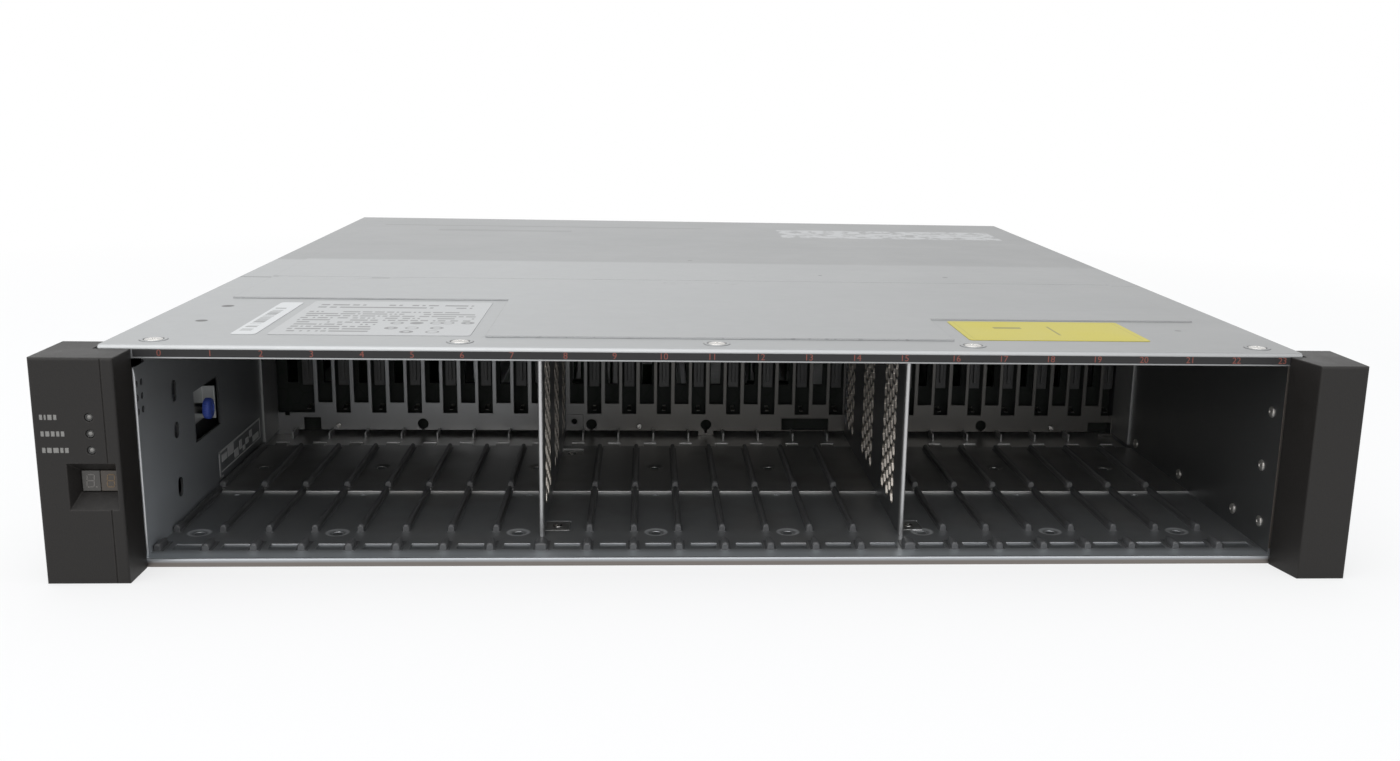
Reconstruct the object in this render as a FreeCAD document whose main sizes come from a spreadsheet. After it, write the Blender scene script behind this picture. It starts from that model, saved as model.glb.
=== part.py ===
import FreeCAD, Part
import math
import os
import re

import Sketcher
from FreeCAD import Placement, Rotation, Vector

# Disk shelf enclosure: a rack shelf two units high with an empty row of drive bays in front, two power
# supplies and two I/O modules behind. X runs to the right seen from the front, Y runs back, Z up. The
# origin is at the middle of the footprint, on the surface the shelf stands on.

doc = FreeCAD.newDocument("disk_shelf")

SIZES = [
    # the chassis sheet metal
    ("chassis_width", 448),
    ("chassis_depth", 474),
    ("cover_level", 84.6),
    ("panel_rise", 0.5),
    ("wall_sheet", 1.2),
    ("base_sheet", 0.8),
    ("cover_sheet", 1.2),
    ("inner_sheet", 1.0),
    ("wall_setback", 8),
    ("hem_height", 3.2),
    ("hem_depth", 1.6),
    ("lip_drop", 4.9),
    ("lip_bend", 1.3),
    ("cover_seam", 176),
    ("seam_gap", 0.4),
    ("running_gap", 0.3),
    # the drive bays
    ("bay_pitch", 18.06),
    ("divider_gap", 1.6),
    ("first_line_inset", 10.5),
    ("inner_wall_inset", 8.7),
    ("bays_per_group", 8),
    ("group_count", 3),
    # the raised middle of the front cover and the low areas for the stickers
    ("panel_inset", 16),
    ("panel_start", 21),
    ("left_zone_width", 120),
    ("left_zone_end", 110),
    ("right_zone_start", 93.5),
    ("right_zone_end", 69),
    # the bay floor
    ("floor_sheet", 0.6),
    ("front_floor_end", 89.5),
    ("rear_floor_step", 0.8),
    ("rear_floor_end", 166),
    ("tongue_offset", 3.6),
    ("tongue_width", 6.4),
    ("tongue_length", 6.5),
    ("tongue_lip", 0.5),
    ("slot_start", 15.3),
    ("slot_length", 6.5),
    ("slot_width", 10.3),
    ("slot_offset", 4.7),
    ("rivet_row", 35.5),
    ("rivet_dish", 4.2),
    ("rivet_row_middle", 86.5),
    ("rivet_row_rear", 129),
    ("wall_notch_depth", 12),
    ("wall_notch_height", 9),
    # the guides in the floor and under the cover
    ("post_start", 13.5),
    ("post_length", 11),
    ("post_width", 3),
    ("post_height", 3),
    ("rail_start", 36),
    ("rail_width", 2.6),
    ("rail_height", 3),
    ("rail_overrun", 3.5),
    ("rear_rail_start", 96),
    ("rear_rail_end", 163),
    ("upper_plate_drop", 2.4),
    ("upper_sheet", 0.8),
    # the two dividers
    ("divider_start", 29.5),
    ("divider_end", 192),
    ("divider_sheet", 1),
    ("divider_fold", 3),
    ("fold_width", 2),
    ("hex_pitch", 6.8),
    ("hex_web", 0.9),
    ("hex_bottom", 8.5),
    ("hex_top", 79),
    ("zone_start", 48),
    ("zone_length", 34),
    ("zone_pitch", 56),
    ("foot_length", 11.4),
    ("foot_width", 10),
    ("foot_start", 38),
    ("foot_pitch", 112),
    # the connector guide plate and the midplane
    ("guide_plate_face", 194),
    ("guide_sheet", 1),
    ("guide_bottom", 3.2),
    ("window_width", 7.2),
    ("window_top", 77),
    ("tall_window_bottom", 12.2),
    ("short_window_bottom", 17.6),
    ("tall_window_offset", 14.1),
    ("short_window_offset", 5.2),
    ("guide_hole_radius", 2.75),
    ("guide_hole_level", 6.5),
    ("guide_foot_width", 8),
    ("guide_slit_width", 1.2),
    ("edge_window_reach", 2.8),
    ("fin_sheet", 0.8),
    ("fin_length", 10),
    ("fin_top", 4.4),
    ("guide_flange_depth", 25),
    ("boss_plate_sheet", 0.6),
    ("boss_plate_width", 9.3),
    ("boss_plate_height", 7.3),
    ("boss_plate_bottom", 4.5),
    ("boss_hole_radius", 1.5),
    ("midplane_face", 203),
    ("midplane_sheet", 3),
    ("drive_connector_width", 5.4),
    ("drive_connector_height", 44),
    ("drive_connector_bottom", 26),
    ("drive_connector_depth", 7),
    # the rack ears and their end caps
    ("rack_width", 482.6),
    ("rack_hole_span", 465.1),
    ("rack_hole_pitch", 44.45),
    ("rack_hole_radius", 3.4),
    ("bracket_sheet", 1.2),
    ("bracket_face", 2),
    ("bracket_leg", 60),
    ("cap_reach", 17.7),
    ("cap_skirt", 13),
    ("cap_top", 83.3),
    ("cap_wall", 2),
    ("cap_round", 0.9),
    ("groove_inset", 4.6),
    ("groove_width", 0.5),
    ("groove_depth", 0.35),
    ("left_cap_width", 29),
    ("right_cap_width", 18.3),
    ("right_cap_flare", 3.7),
    # the operator panel behind the left end cap
    ("pocket_inset", 10.3),
    ("pocket_bottom", 27.8),
    ("pocket_height", 17.4),
    ("pocket_width", 17),
    ("display_depth", 5.7),
    ("display_width", 12.8),
    ("display_height", 7.6),
    ("display_bottom", 33.4),
    ("display_inset", 13),
    ("light_inset", 19.4),
    ("light_level", 50),
    ("light_pitch", 6),
    ("light_radius", 1.35),
    ("panel_board_sheet", 1.6),
    ("panel_board_setback", 8.5),
    ("panel_board_bottom", 9),
    ("panel_board_height", 67),
    ("panel_post_radius", 1.8),
    ("panel_post_offset", 4.4),
    ("button_level", 14),
    ("button_radius", 2.6),
    ("button_wall", 1.5),
    ("button_housing_depth", 4),
    ("button_reach", 2),
    ("button_travel", 1),
    ("cable_radius", 1.6),
    ("cable_level", 20),
    # the thumb knob in the left channel
    ("knob_y", 88.5),
    ("knob_level", 39.8),
    ("knob_radius", 4.6),
    ("knob_length", 3.2),
    ("knob_reach", 2.2),
    ("knob_crown", 1),
    ("collar_radius", 2.35),
    ("shaft_radius", 1.5),
    ("knob_window_start", 71.7),
    ("knob_window_length", 33.3),
    ("knob_window_bottom", 28.9),
    ("knob_window_height", 21.8),
    ("knob_bracket_width", 23.5),
    ("knob_bracket_bottom", 32),
    ("knob_bracket_height", 14.5),
    # the rear bays and what slides into them
    ("module_front", 212),
    ("module_sheet", 1),
    ("psu_slot_width", 107),
    ("module_connector_width", 50),
    ("module_connector_height", 9),
    ("handle_reach", 12),
    ("pin_radius", 1.5),
    ("pin_clearance", 0.05),
    ("fan_radius", 24.5),
    ("fan_depth", 10),
    ("fan_hub_radius", 8),
    ("fan_axle_radius", 2),
    ("guard_bar", 1.5),
    ("shroud_gap", 1),
    ("blade_sheet", 1.4),
    ("blade_gap", 0.8),
    ("fan_inset", 34),
    ("fan_level", 46),
    ("inlet_inset", 62),
    ("inlet_width", 28),
    ("inlet_bottom", 8),
    ("inlet_height", 52),
    ("inlet_depth", 18),
    ("bezel_rise", 2),
    ("bezel_rim", 1.5),
    ("inlet_back", 3),
    ("socket_rise", 3),
    ("socket_width", 23),
    ("socket_height", 17),
    ("contact_width", 2),
    ("contact_height", 4),
    ("contact_length", 13),
    ("rocker_width", 19.4),
    ("rocker_half", 7.2),
    ("rocker_rise", 3.4),
    ("rocker_dip", 1),
    ("rocker_depth", 2.6),
    ("rocker_well", 6),
    ("rocker_inset", 14),
    ("lever_sheet", 3),
    ("lever_width", 8),
    ("lever_inset", 95),
    ("io_hinge_inset", 8),
    ("hinge_rise", 5.5),
    ("hinge_level", 10),
    ("barrel_radius", 3.6),
    ("ear_sheet", 1.8),
    ("ear_radius", 3),
    ("pin_bite", 0.5),
    ("lever_stand_off", 4),
    ("lip_height", 4),
    ("latch_stem", 8),
    ("latch_travel", 3),
    ("latch_drop", 6),
    ("latch_sheet", 1.6),
    ("latch_margin", 0.8),
    ("psu_lever_length", 58),
    ("io_lever_length", 74),
    ("board_sheet", 1.6),
    ("board_stand_off", 5),
    ("board_margin", 5),
    ("standoff_radius", 2.5),
    ("standoff_inset", 6),
    ("standoff_setback", 15),
    ("psu_board_end", 24),
    ("io_board_end", 2),
    ("io_lever_level", 50),
    ("port_inset", 10),
    ("port_depth", 20),
    ("sas_port_width", 20),
    ("sas_port_height", 11),
    ("sas_port_pitch", 25),
    ("lan_port_width", 16),
    ("lan_port_height", 13.5),
    ("lan_port_pitch", 19),
    ("port_wall", 1),
    ("port_back", 2),
    ("port_reach", 0.6),
    ("port_group_gap", 4),
    ("face_vent_inset", 10),
    ("face_vent_pitch", 8),
    ("face_vent_width", 4),
    ("tray_wall_height", 30),
    # stickers and small fasteners
    ("sticker_sheet", 0.15),
    ("rating_label_inset", 37.6),
    ("rating_label_width", 76.4),
    ("rating_label_length", 80.3),
    ("bar_label_inset", 24),
    ("bar_label_width", 9.5),
    ("bar_label_length", 76),
    ("yellow_label_inset", 6.5),
    ("yellow_label_width", 73),
    ("yellow_label_length", 43),
    ("label_start", 22.5),
    ("strip_height", 2.8),
    ("strip_sheet", 0.2),
    ("strip_rise", 0.6),
    ("strip_margin", 3.5),
    ("screw_head_radius", 3.4),
    ("screw_head_height", 0.5),
    ("screw_radius", 1.4),
    ("screw_row", 11.3),
    ("boss_radius", 3.5),
    ("small_head_radius", 2.1),
    ("small_screw_reach", 3),
    ("wall_rivet_radius", 2.3),
    ("wall_rivet_height", 0.6),
]

# Places worked out from the sizes above, used by more than one piece.
LAYOUT = [
    ("front_y", "(cap_reach - chassis_depth - handle_reach) / 2"),
    ("rear_y", "front_y + chassis_depth"),
    ("half_width", "chassis_width / 2"),
    ("inner_half", "half_width - wall_sheet"),
    ("cover_under", "cover_level - cover_sheet"),
    ("first_line", "first_line_inset - half_width"),
    ("left_face", "inner_wall_inset - half_width"),
    ("bay_width", "inner_half - left_face"),
    ("floor_top", "base_sheet + floor_sheet"),
    ("rear_floor_top", "floor_top + rear_floor_step"),
    ("upper_plate_top", "cover_under - upper_plate_drop"),
    ("upper_plate_under", "upper_plate_top - upper_sheet"),
    ("module_bottom", "base_sheet + running_gap"),
    ("module_height", "cover_under - running_gap - module_bottom"),
    ("module_depth", "chassis_depth - module_front"),
    ("board_bottom", "module_bottom + module_sheet + board_stand_off"),
    ("board_top", "board_bottom + board_sheet"),
    ("io_slot_width", "(2 * inner_half - 2 * psu_slot_width - 3 * inner_sheet) / 2"),
    ("cap_left", "-rack_width / 2"),
    ("flange_y", "front_y + bracket_face"),
    ("panel_board_y", "front_y - panel_board_setback"),
    ("display_y", "front_y - cap_reach + display_depth"),
    ("bore_radius", "pin_radius + pin_clearance"),
]


def bound(text):
    """Writes each named size in an expression as the spreadsheet cell that holds it."""
    def cell(match):
        word = match.group(0)
        if word in size_names:
            return "Sizes." + word
        if word in layout_names:
            return "Layout." + word
        return word
    return re.sub(r"[a-z_]+", cell, str(text))


def add_sheet(name, rows, write):
    sheet = doc.addObject("Spreadsheet::Sheet", name)
    for row, (alias, value) in enumerate(rows, start=1):
        sheet.set("A%d" % row, alias)
        sheet.set("B%d" % row, write(value))
        sheet.setAlias("B%d" % row, alias)
    doc.recompute()
    return sheet


size_names = {alias for alias, value in SIZES}
layout_names = {alias for alias, value in LAYOUT}
sizes = add_sheet("Sizes", SIZES, str)
layout = add_sheet("Layout", LAYOUT, lambda text: "=" + bound(text).replace("Layout.", ""))
BAYS = int(sizes.bays_per_group * sizes.group_count)


def bind(feature, **expressions):
    for name, text in expressions.items():
        feature.setExpression(name.replace("__", "."), bound(text))
    return feature


def place(feature, x, y, z):
    return bind(feature, Placement__Base__x=x, Placement__Base__y=y, Placement__Base__z=z)


def box(name, x, y, z, dx, dy, dz):
    solid = doc.addObject("Part::Box", name)
    bind(solid, Length=dx, Width=dy, Height=dz)
    return place(solid, x, y, z)


AXIS_TURN = {
    "x": Rotation(Vector(0, 1, 0), 90),
    "y": Rotation(Vector(1, 0, 0), -90),
    "z": Rotation(),
}


def rod(name, axis, x, y, z, radius, length):
    solid = doc.addObject("Part::Cylinder", name)
    solid.Placement = Placement(Vector(), AXIS_TURN[axis])
    bind(solid, Radius=radius, Height=length)
    return place(solid, x, y, z)


def cone(name, axis, x, y, z, first_radius, last_radius, length):
    solid = doc.addObject("Part::Cone", name)
    solid.Placement = Placement(Vector(), AXIS_TURN[axis])
    bind(solid, Radius1=first_radius, Radius2=last_radius, Height=length)
    return place(solid, x, y, z)


def group(name, pieces):
    compound = doc.addObject("Part::Compound", name)
    compound.Links = pieces
    return compound


def fuse(name, pieces):
    joined = doc.addObject("Part::MultiFuse", name)
    joined.Shapes = pieces
    joined.Refine = True
    return joined


def cut(name, base, tools):
    result = doc.addObject("Part::Cut", name)
    result.Base = base
    result.Tool = tools[0] if len(tools) == 1 else group(name + "_tools", tools)
    result.Refine = True
    return result


nodes = {}


def node(label, feature):
    """Registers a finished sub-part under the name of its file."""
    feature.Label = label
    nodes[label] = feature
    return feature


def origin_part(body, role):
    """The origin plane or axis of a body that has the given role."""
    return next(feature for feature in body.Origin.OriginFeatures if feature.Role == role)


def sketch(body, role, offset):
    profile = body.newObject("Sketcher::SketchObject", body.Name + "_sketch")
    profile.AttachmentSupport = [(origin_part(body, role), "")]
    profile.MapMode = "FlatFace"
    bind(profile, AttachmentOffset__Base__z=offset)
    return profile


def pin_point(profile, element, point, start, x, y):
    """Fixes a sketch point at two bound distances from the sketch's origin."""
    for kind, number, text in (("DistanceX", start.x, x), ("DistanceY", start.y, y)):
        index = profile.addConstraint(Sketcher.Constraint(kind, -1, 1, element, point, number))
        profile.setExpression("Constraints[%d]" % index, bound(text))


def polygon(profile, points):
    """Draws a closed outline; its corners start on a circle and the bound distances place them."""
    count = len(points)
    turns = [2 * math.pi * i / count for i in range(count)]
    starts = [Vector(20 + 10 * math.cos(turn), 20 + 10 * math.sin(turn), 0) for turn in turns]
    lines = [Part.LineSegment(starts[i], starts[(i + 1) % count]) for i in range(count)]
    first = profile.GeometryCount
    profile.addGeometry(lines, False)
    for i in range(count):
        following = first + (i + 1) % count
        profile.addConstraint(Sketcher.Constraint("Coincident", first + i, 2, following, 1))
    for i, (x, y) in enumerate(points):
        pin_point(profile, first + i, 1, starts[i], x, y)
    return profile


def circle(profile, x, y, radius):
    centre = Vector(20, 20, 0)
    index = profile.addGeometry(Part.Circle(centre, Vector(0, 0, 1), 10), False)
    pin_point(profile, index, 3, centre, x, y)
    number = profile.addConstraint(Sketcher.Constraint("Radius", index, 10))
    profile.setExpression("Constraints[%d]" % number, bound(radius))
    return profile


def pad(body, profile, length, reverse=False):
    feature = body.newObject("PartDesign::Pad", body.Name + "_pad")
    feature.Profile = profile
    bind(feature, Length=length)
    feature.Reversed = reverse
    doc.recompute()
    return feature


def pocket(body, profile, depth, reverse=False):
    before = body.Shape.Volume
    feature = body.newObject("PartDesign::Pocket", body.Name + "_pocket")
    feature.Profile = profile
    bind(feature, Length=depth)
    feature.Reversed = reverse
    doc.recompute()
    if not body.Shape.Volume < before - 1e-6:
        raise RuntimeError(feature.Name + " removes nothing")
    return feature


def new_body(name):
    return doc.addObject("PartDesign::Body", name)


def line_x(number):
    """The middle of guide line number, counted from the left wall."""
    whole_groups = number // int(sizes.bays_per_group)
    return "first_line + %d * bay_pitch + %d * divider_gap" % (number, whole_groups)


def bay_middle(number):
    return line_x(number) + " + bay_pitch / 2"


DIVIDER_LINES = [int(sizes.bays_per_group) * i for i in range(1, int(sizes.group_count))]
RAIL_LINES = [number for number in range(BAYS) if number not in DIVIDER_LINES]
RIVET_BAYS = [0, 3, 7, 10, 13, 16, 19, 22]
FOOT_PLACES = ["foot_start", "foot_start + foot_pitch"]


# The base pan: one folded sheet with the floor, both side walls and a rolled front hem.
def make_base_pan():
    roll = "hem_depth / 2"
    hem = box("pan_hem", "-half_width", "front_y", 0, "chassis_width", "hem_depth", "hem_height - " + roll)
    return node("base_pan", fuse("base_pan_sheet", [
        box("pan_floor", "-half_width", "front_y", 0, "chassis_width", "chassis_depth", "base_sheet"),
        hem,
        rod("pan_roll", "x", "-half_width", "front_y + " + roll, "hem_height - " + roll, roll,
            "chassis_width"),
        box("pan_left_wall", "-half_width", "front_y + wall_setback", 0,
            "wall_sheet", "chassis_depth - wall_setback", "cover_under"),
        box("pan_right_wall", "inner_half", "front_y + wall_setback", 0,
            "wall_sheet", "chassis_depth - wall_setback", "cover_under"),
    ]))


SCREW_COLUMNS = ["-half_width + panel_inset", "-half_width * 0.43", "0", "half_width * 0.44",
                 "half_width - panel_inset + 3"]


# The front cover: a flat sheet whose front edge is bent down into a lip, with a raised middle panel
# that leaves two lower areas for stickers and runs on over the seam.
def make_front_cover():
    end = "cover_seam - seam_gap / 2"
    sheet = box("cover_flat", "-half_width", "front_y + lip_bend", "cover_under",
                "chassis_width", end + " - lip_bend", "cover_sheet")
    lip = box("cover_lip", "-half_width", "front_y", "cover_level - lip_drop",
              "chassis_width", "cover_sheet", "lip_drop - lip_bend")
    bend = rod("cover_bend", "x", "-half_width", "front_y + lip_bend", "cover_level - lip_bend",
               "lip_bend", "chassis_width")
    blank = box("panel_blank", "-half_width + panel_inset", "front_y + panel_start", "cover_level",
                "chassis_width - 2 * panel_inset", end + " - panel_start", "panel_rise")
    left_zone = box("left_zone", "-half_width + panel_inset", "front_y + panel_start", "cover_level",
                    "left_zone_width", "left_zone_end - panel_start", "panel_rise")
    right_zone = box("right_zone", "right_zone_start", "front_y + panel_start", "cover_level",
                     "half_width - panel_inset - right_zone_start",
                     "right_zone_end - panel_start", "panel_rise")
    panel = cut("raised_panel", blank, [left_zone, right_zone])
    holes = [
        rod("cover_screw_hole", "z", x, "front_y + screw_row", "cover_under - 1",
            "screw_radius + running_gap", "cover_sheet + 2")
        for x in SCREW_COLUMNS
    ]
    return node("front_cover", cut("front_cover_sheet", fuse("cover_blank", [sheet, lip, bend, panel]), holes))


def make_rear_cover():
    start = "cover_seam + seam_gap / 2"
    length = "chassis_depth - (%s)" % start
    sheet = box("rear_cover_flat", "-half_width", "front_y + " + start, "cover_under", "chassis_width",
                length, "cover_sheet")
    panel = box("rear_panel", "-half_width + panel_inset", "front_y + " + start, "cover_level",
                "chassis_width - 2 * panel_inset", length + " - panel_inset", "panel_rise")
    return node("rear_cover", fuse("rear_cover_sheet", [sheet, panel]))


# The left inner wall closes a narrow channel for the panel cable. It stands on a foot in the channel.
SLOT_LEVELS = [16.4, 40.2, 56.4]
SLOT_HALF_LENGTHS = [1.2, 0.5, 1.5]
SLOT_RADIUS = 2.9
SLOT_Y = 49.5
PERFORATION_ROWS = [57.1, 62.3, 67.6]
PERFORATION_COLUMNS = [10.9, 15.6]
PERFORATION_RADIUS = 1.3


def make_left_inner_wall():
    outer = "left_face - inner_sheet"
    tall = box("wall_plate", outer, "front_y + wall_setback", "base_sheet", "inner_sheet",
               "guide_plate_face - wall_setback - running_gap", "upper_plate_under - base_sheet")
    foot = box("wall_foot", "-inner_half", "front_y + wall_setback", "base_sheet",
               "left_face - inner_sheet + inner_half",
               "guide_plate_face - wall_setback - running_gap", "inner_sheet")
    tools = [
        box("wall_notch", outer + " - 1", "front_y", "cap_top - wall_notch_height", "inner_sheet + 2",
            "wall_setback + wall_notch_depth", "2 * wall_notch_height"),
        box("knob_window", outer + " - 1", "front_y + knob_window_start", "knob_window_bottom",
            "inner_sheet + 2", "knob_window_length", "knob_window_height"),
    ]
    for level, half in zip(SLOT_LEVELS, SLOT_HALF_LENGTHS):
        tools.append(box("wall_slot", outer + " - 1", "front_y + %g" % (SLOT_Y - SLOT_RADIUS),
                         level - half, "inner_sheet + 2", 2 * SLOT_RADIUS, 2 * half))
        for end in (level - half, level + half):
            tools.append(rod("wall_slot_end", "x", outer + " - 1", "front_y + %g" % SLOT_Y, end,
                             SLOT_RADIUS, "inner_sheet + 2"))
    for level in PERFORATION_ROWS:
        for column in PERFORATION_COLUMNS:
            tools.append(rod("wall_perforation", "x", outer + " - 1", "front_y + %g" % column, level,
                             PERFORATION_RADIUS, "inner_sheet + 2"))
    return node("left_inner_wall", cut("left_wall_sheet", fuse("left_wall_blank", [tall, foot]), tools))


def divider_x(number):
    """The left side of the divider sheet on a guide line."""
    return line_x(number) + " - divider_gap / 2 - divider_sheet / 2"


def foot_window(name, number, y):
    """The opening in a floor plate around a divider's foot."""
    return box(name, divider_x(number) + " - running_gap", y + " - running_gap", "base_sheet - 1",
               "divider_sheet + foot_width + 2 * running_gap", "foot_length + 2 * running_gap",
               "rear_floor_top + 2")


# The front floor plate: slots that the disk carriers' levers hook into, and dished rivets.
def make_front_floor():
    plate = box("front_floor_blank", "left_face", "front_y + hem_depth", "base_sheet",
                "bay_width", "front_floor_end - hem_depth", "floor_sheet")
    tools = [
        box("lever_slot", line_x(i) + " + slot_offset", "front_y + slot_start", "base_sheet - 1",
            "slot_width", "slot_length", "floor_sheet + 2")
        for i in range(BAYS)
    ]
    tools += [foot_window("foot_window", i, "front_y + " + FOOT_PLACES[0]) for i in DIVIDER_LINES]
    for i in RIVET_BAYS:
        tools.append(cone("rivet_dish", "z", bay_middle(i), "front_y + rivet_row", "base_sheet",
                          "rivet_dish * 0.45", "rivet_dish", "floor_sheet"))
        tools.append(rod("rivet_hole", "z", bay_middle(i), "front_y + rivet_row_middle",
                         "base_sheet - 1", "rivet_dish * 0.35", "floor_sheet + 2"))
    return node("front_floor_plate", cut("front_floor_sheet", plate, tools))


# The rear floor plate lies one step higher on turned-down edges. Its front edge is notched for the
# ends of the front rails, and a tongue with a small lip reaches back from its rear edge in each bay.
def make_rear_floor():
    start = "front_floor_end + running_gap"
    sheet = box("rear_floor_flat", "left_face", "front_y + " + start, "floor_top",
                "bay_width", "rear_floor_end - %s" % start.replace("+", "-"), "rear_floor_step")
    front_edge = box("rear_floor_front_edge", "left_face", "front_y + " + start, "base_sheet",
                     "bay_width", "rear_floor_step", "floor_sheet")
    rear_edge = box("rear_floor_rear_edge", "left_face", "front_y + rear_floor_end - rear_floor_step",
                    "base_sheet", "bay_width", "rear_floor_step", "floor_sheet")
    tongues = []
    for i in range(BAYS):
        x = line_x(i) + " + tongue_offset"
        tongues.append(box("floor_tongue", x, "front_y + rear_floor_end - rear_floor_step", "floor_top",
                           "tongue_width", "tongue_length + rear_floor_step", "rear_floor_step"))
        tongues.append(box("tongue_lip", x, "front_y + rear_floor_end + tongue_length - rear_floor_step",
                           "rear_floor_top", "tongue_width", "rear_floor_step", "tongue_lip"))
    tools = [
        box("rail_notch", line_x(i) + " - rail_width / 2 - running_gap", "front_y + front_floor_end",
            "base_sheet - 1", "rail_width + 2 * running_gap", "rail_overrun + running_gap",
            "rear_floor_top + 2")
        for i in RAIL_LINES
    ]
    tools += [foot_window("rear_foot_window", i, "front_y + " + FOOT_PLACES[1]) for i in DIVIDER_LINES]
    tools += [cone("rear_dish", "z", bay_middle(i), "front_y + rivet_row_rear", "floor_top",
                   "rivet_dish * 0.45", "rivet_dish", "rear_floor_step") for i in RIVET_BAYS]
    blank = fuse("rear_floor_blank", [sheet, front_edge, rear_edge] + tongues)
    return node("rear_floor_plate", cut("rear_floor_sheet", blank, tools))


def wedge(name, x, y, z, width, depth, height, tip_width):
    """A block whose plan narrows towards its rear end, placed by the middle of its front."""
    solid = doc.addObject("Part::Wedge", name)
    bind(solid, Xmin="-(%s) / 2" % width, Xmax="(%s) / 2" % width, Ymin=0, Ymax=depth, Zmin=0, Zmax=height,
         X2min="-(%s) / 2" % tip_width, X2max="(%s) / 2" % tip_width, Z2min=0, Z2max=height)
    return place(solid, x, y, z)


# Moulded lead-in posts: blunt in front, pointed behind, one for each guide line.
def make_lead_in_guides():
    posts = []
    for i in range(BAYS):
        width = "post_width" if i not in DIVIDER_LINES else "post_width * 1.6"
        straight = box("post_front", line_x(i) + " - (%s) / 2" % width, "front_y + post_start", "floor_top",
                       width, "post_length * 0.55", "post_height")
        tip = wedge("post_tip", line_x(i), "front_y + post_start + post_length * 0.55", "floor_top",
                    width, "post_length * 0.45", "post_height", 0.5)
        posts.append(fuse("lead_in_post", [straight, tip]))
    return node("lead_in_guides", group("lead_in_group", posts))


def rail(i, start, end, under):
    """One guide rail with a slightly taller nose at its front end."""
    bar = box("rail_bar", line_x(i) + " - rail_width / 2", "front_y + " + start, under,
              "rail_width", "%s - (%s)" % (end, start), "rail_height - 0.6")
    nose = box("rail_nose", line_x(i) + " - rail_width * 0.3", "front_y + " + start, under,
               "rail_width * 0.6", 4, "rail_height")
    return fuse("rail", [bar, nose])


def make_rails():
    rail_end = "front_floor_end + rail_overrun"
    front = [rail(i, "rail_start", rail_end, "floor_top") for i in RAIL_LINES]
    rear = [rail(i, "rear_rail_start", "rear_rail_end", "rear_floor_top") for i in RAIL_LINES]
    node("front_guide_rails", group("front_rail_group", front))
    node("rear_guide_rails", group("rear_rail_group", rear))


# The upper guide plate hangs under the cover on two folded edges and five screw bosses.
def make_upper_guides():
    start = "front_y + 2 * lip_bend + running_gap"
    length = "guide_plate_face + guide_sheet - 2 * lip_bend - running_gap"
    plate = box("upper_flat", "left_face - inner_sheet", start, "upper_plate_under",
                "bay_width + inner_sheet", length, "upper_sheet")
    edges = [
        box("upper_edge", "left_face - inner_sheet", y, "upper_plate_top",
            "bay_width + inner_sheet", "upper_sheet", "upper_plate_drop")
        for y in (start, "front_y + guide_plate_face + guide_sheet - upper_sheet")
    ]
    bosses = [
        rod("screw_boss", "z", x, "front_y + screw_row", "upper_plate_top", "boss_radius",
            "upper_plate_drop")
        for x in SCREW_COLUMNS
    ]
    holes = [
        rod("boss_hole", "z", x, "front_y + screw_row", "upper_plate_under - 1",
            "screw_radius + pin_clearance", "upper_plate_drop + 4")
        for x in SCREW_COLUMNS
    ]
    node("upper_guide_plate", cut("upper_sheet_cut", fuse("upper_blank", [plate] + edges + bosses), holes))
    rails = [
        box("upper_rail", line_x(i) + " - rail_width / 2", "front_y + post_start",
            "upper_plate_under - rail_height", "rail_width", "rear_rail_end - post_start", "rail_height")
        for i in RAIL_LINES
    ]
    node("upper_guide_rails", group("upper_rail_group", rails))


def hexagon_prisms(x, depth):
    """Staggered hexagonal holes through a divider, in three zones along its depth."""
    pitch = sizes.hex_pitch
    radius = (pitch - sizes.hex_web) / math.sqrt(3)
    column_step = pitch * math.sqrt(3) / 2
    columns = int((sizes.zone_length - 2 * radius) / column_step) + 1
    rows = int((sizes.hex_top - sizes.hex_bottom - 1.5 * pitch) / pitch) + 1
    prisms = []
    for zone in range(3):
        for column in range(columns):
            y = layout.front_y + sizes.zone_start + zone * sizes.zone_pitch + radius + column * column_step
            for row in range(rows):
                z = sizes.hex_bottom + pitch * (row + 0.5 + 0.5 * (column % 2))
                corners = [
                    Vector(x, y + radius * math.cos(math.pi * k / 3), z + radius * math.sin(math.pi * k / 3))
                    for k in range(7)
                ]
                prisms.append(Part.Face(Part.makePolygon(corners)).extrude(Vector(depth, 0, 0)))
    return Part.makeCompound(prisms)


# A divider: a perforated sheet with a rolled front edge. It stands on two legs, and each leg has a
# flat foot beside it that is screwed to the pan.
def make_divider(label, number):
    x = divider_x(number)
    top = "upper_plate_under - floor_top"
    floor_start = "front_y + divider_start"
    sheet = box("divider_plate", x, floor_start, "rear_floor_top", "divider_sheet",
                "divider_end - divider_start", "upper_plate_under - rear_floor_top")
    skirt = box("divider_skirt", x, floor_start, "floor_top", "divider_sheet",
                "front_floor_end - divider_start", "rear_floor_top - floor_top")
    fold = box("divider_fold_strip", x + " + divider_sheet / 2 - fold_width / 2",
               floor_start + " + fold_width / 2", "floor_top", "fold_width",
               "divider_fold - fold_width / 2", top)
    edge = rod("divider_edge", "z", x + " + divider_sheet / 2", floor_start + " + fold_width / 2",
               "floor_top", "fold_width / 2", top)
    legs = [
        box("divider_leg", x, "front_y + " + y, "base_sheet", "divider_sheet", "foot_length", "rear_floor_top")
        for y in FOOT_PLACES
    ]
    blank = fuse(label + "_blank", [sheet, skirt, fold, edge] + legs)
    doc.recompute()
    holes = doc.addObject("Part::Feature", label + "_holes")
    holes.Shape = hexagon_prisms(blank.Shape.BoundBox.XMin - 1, blank.Shape.BoundBox.XLength + 2)
    return node(label, cut(label + "_sheet", blank, [holes]))


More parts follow.
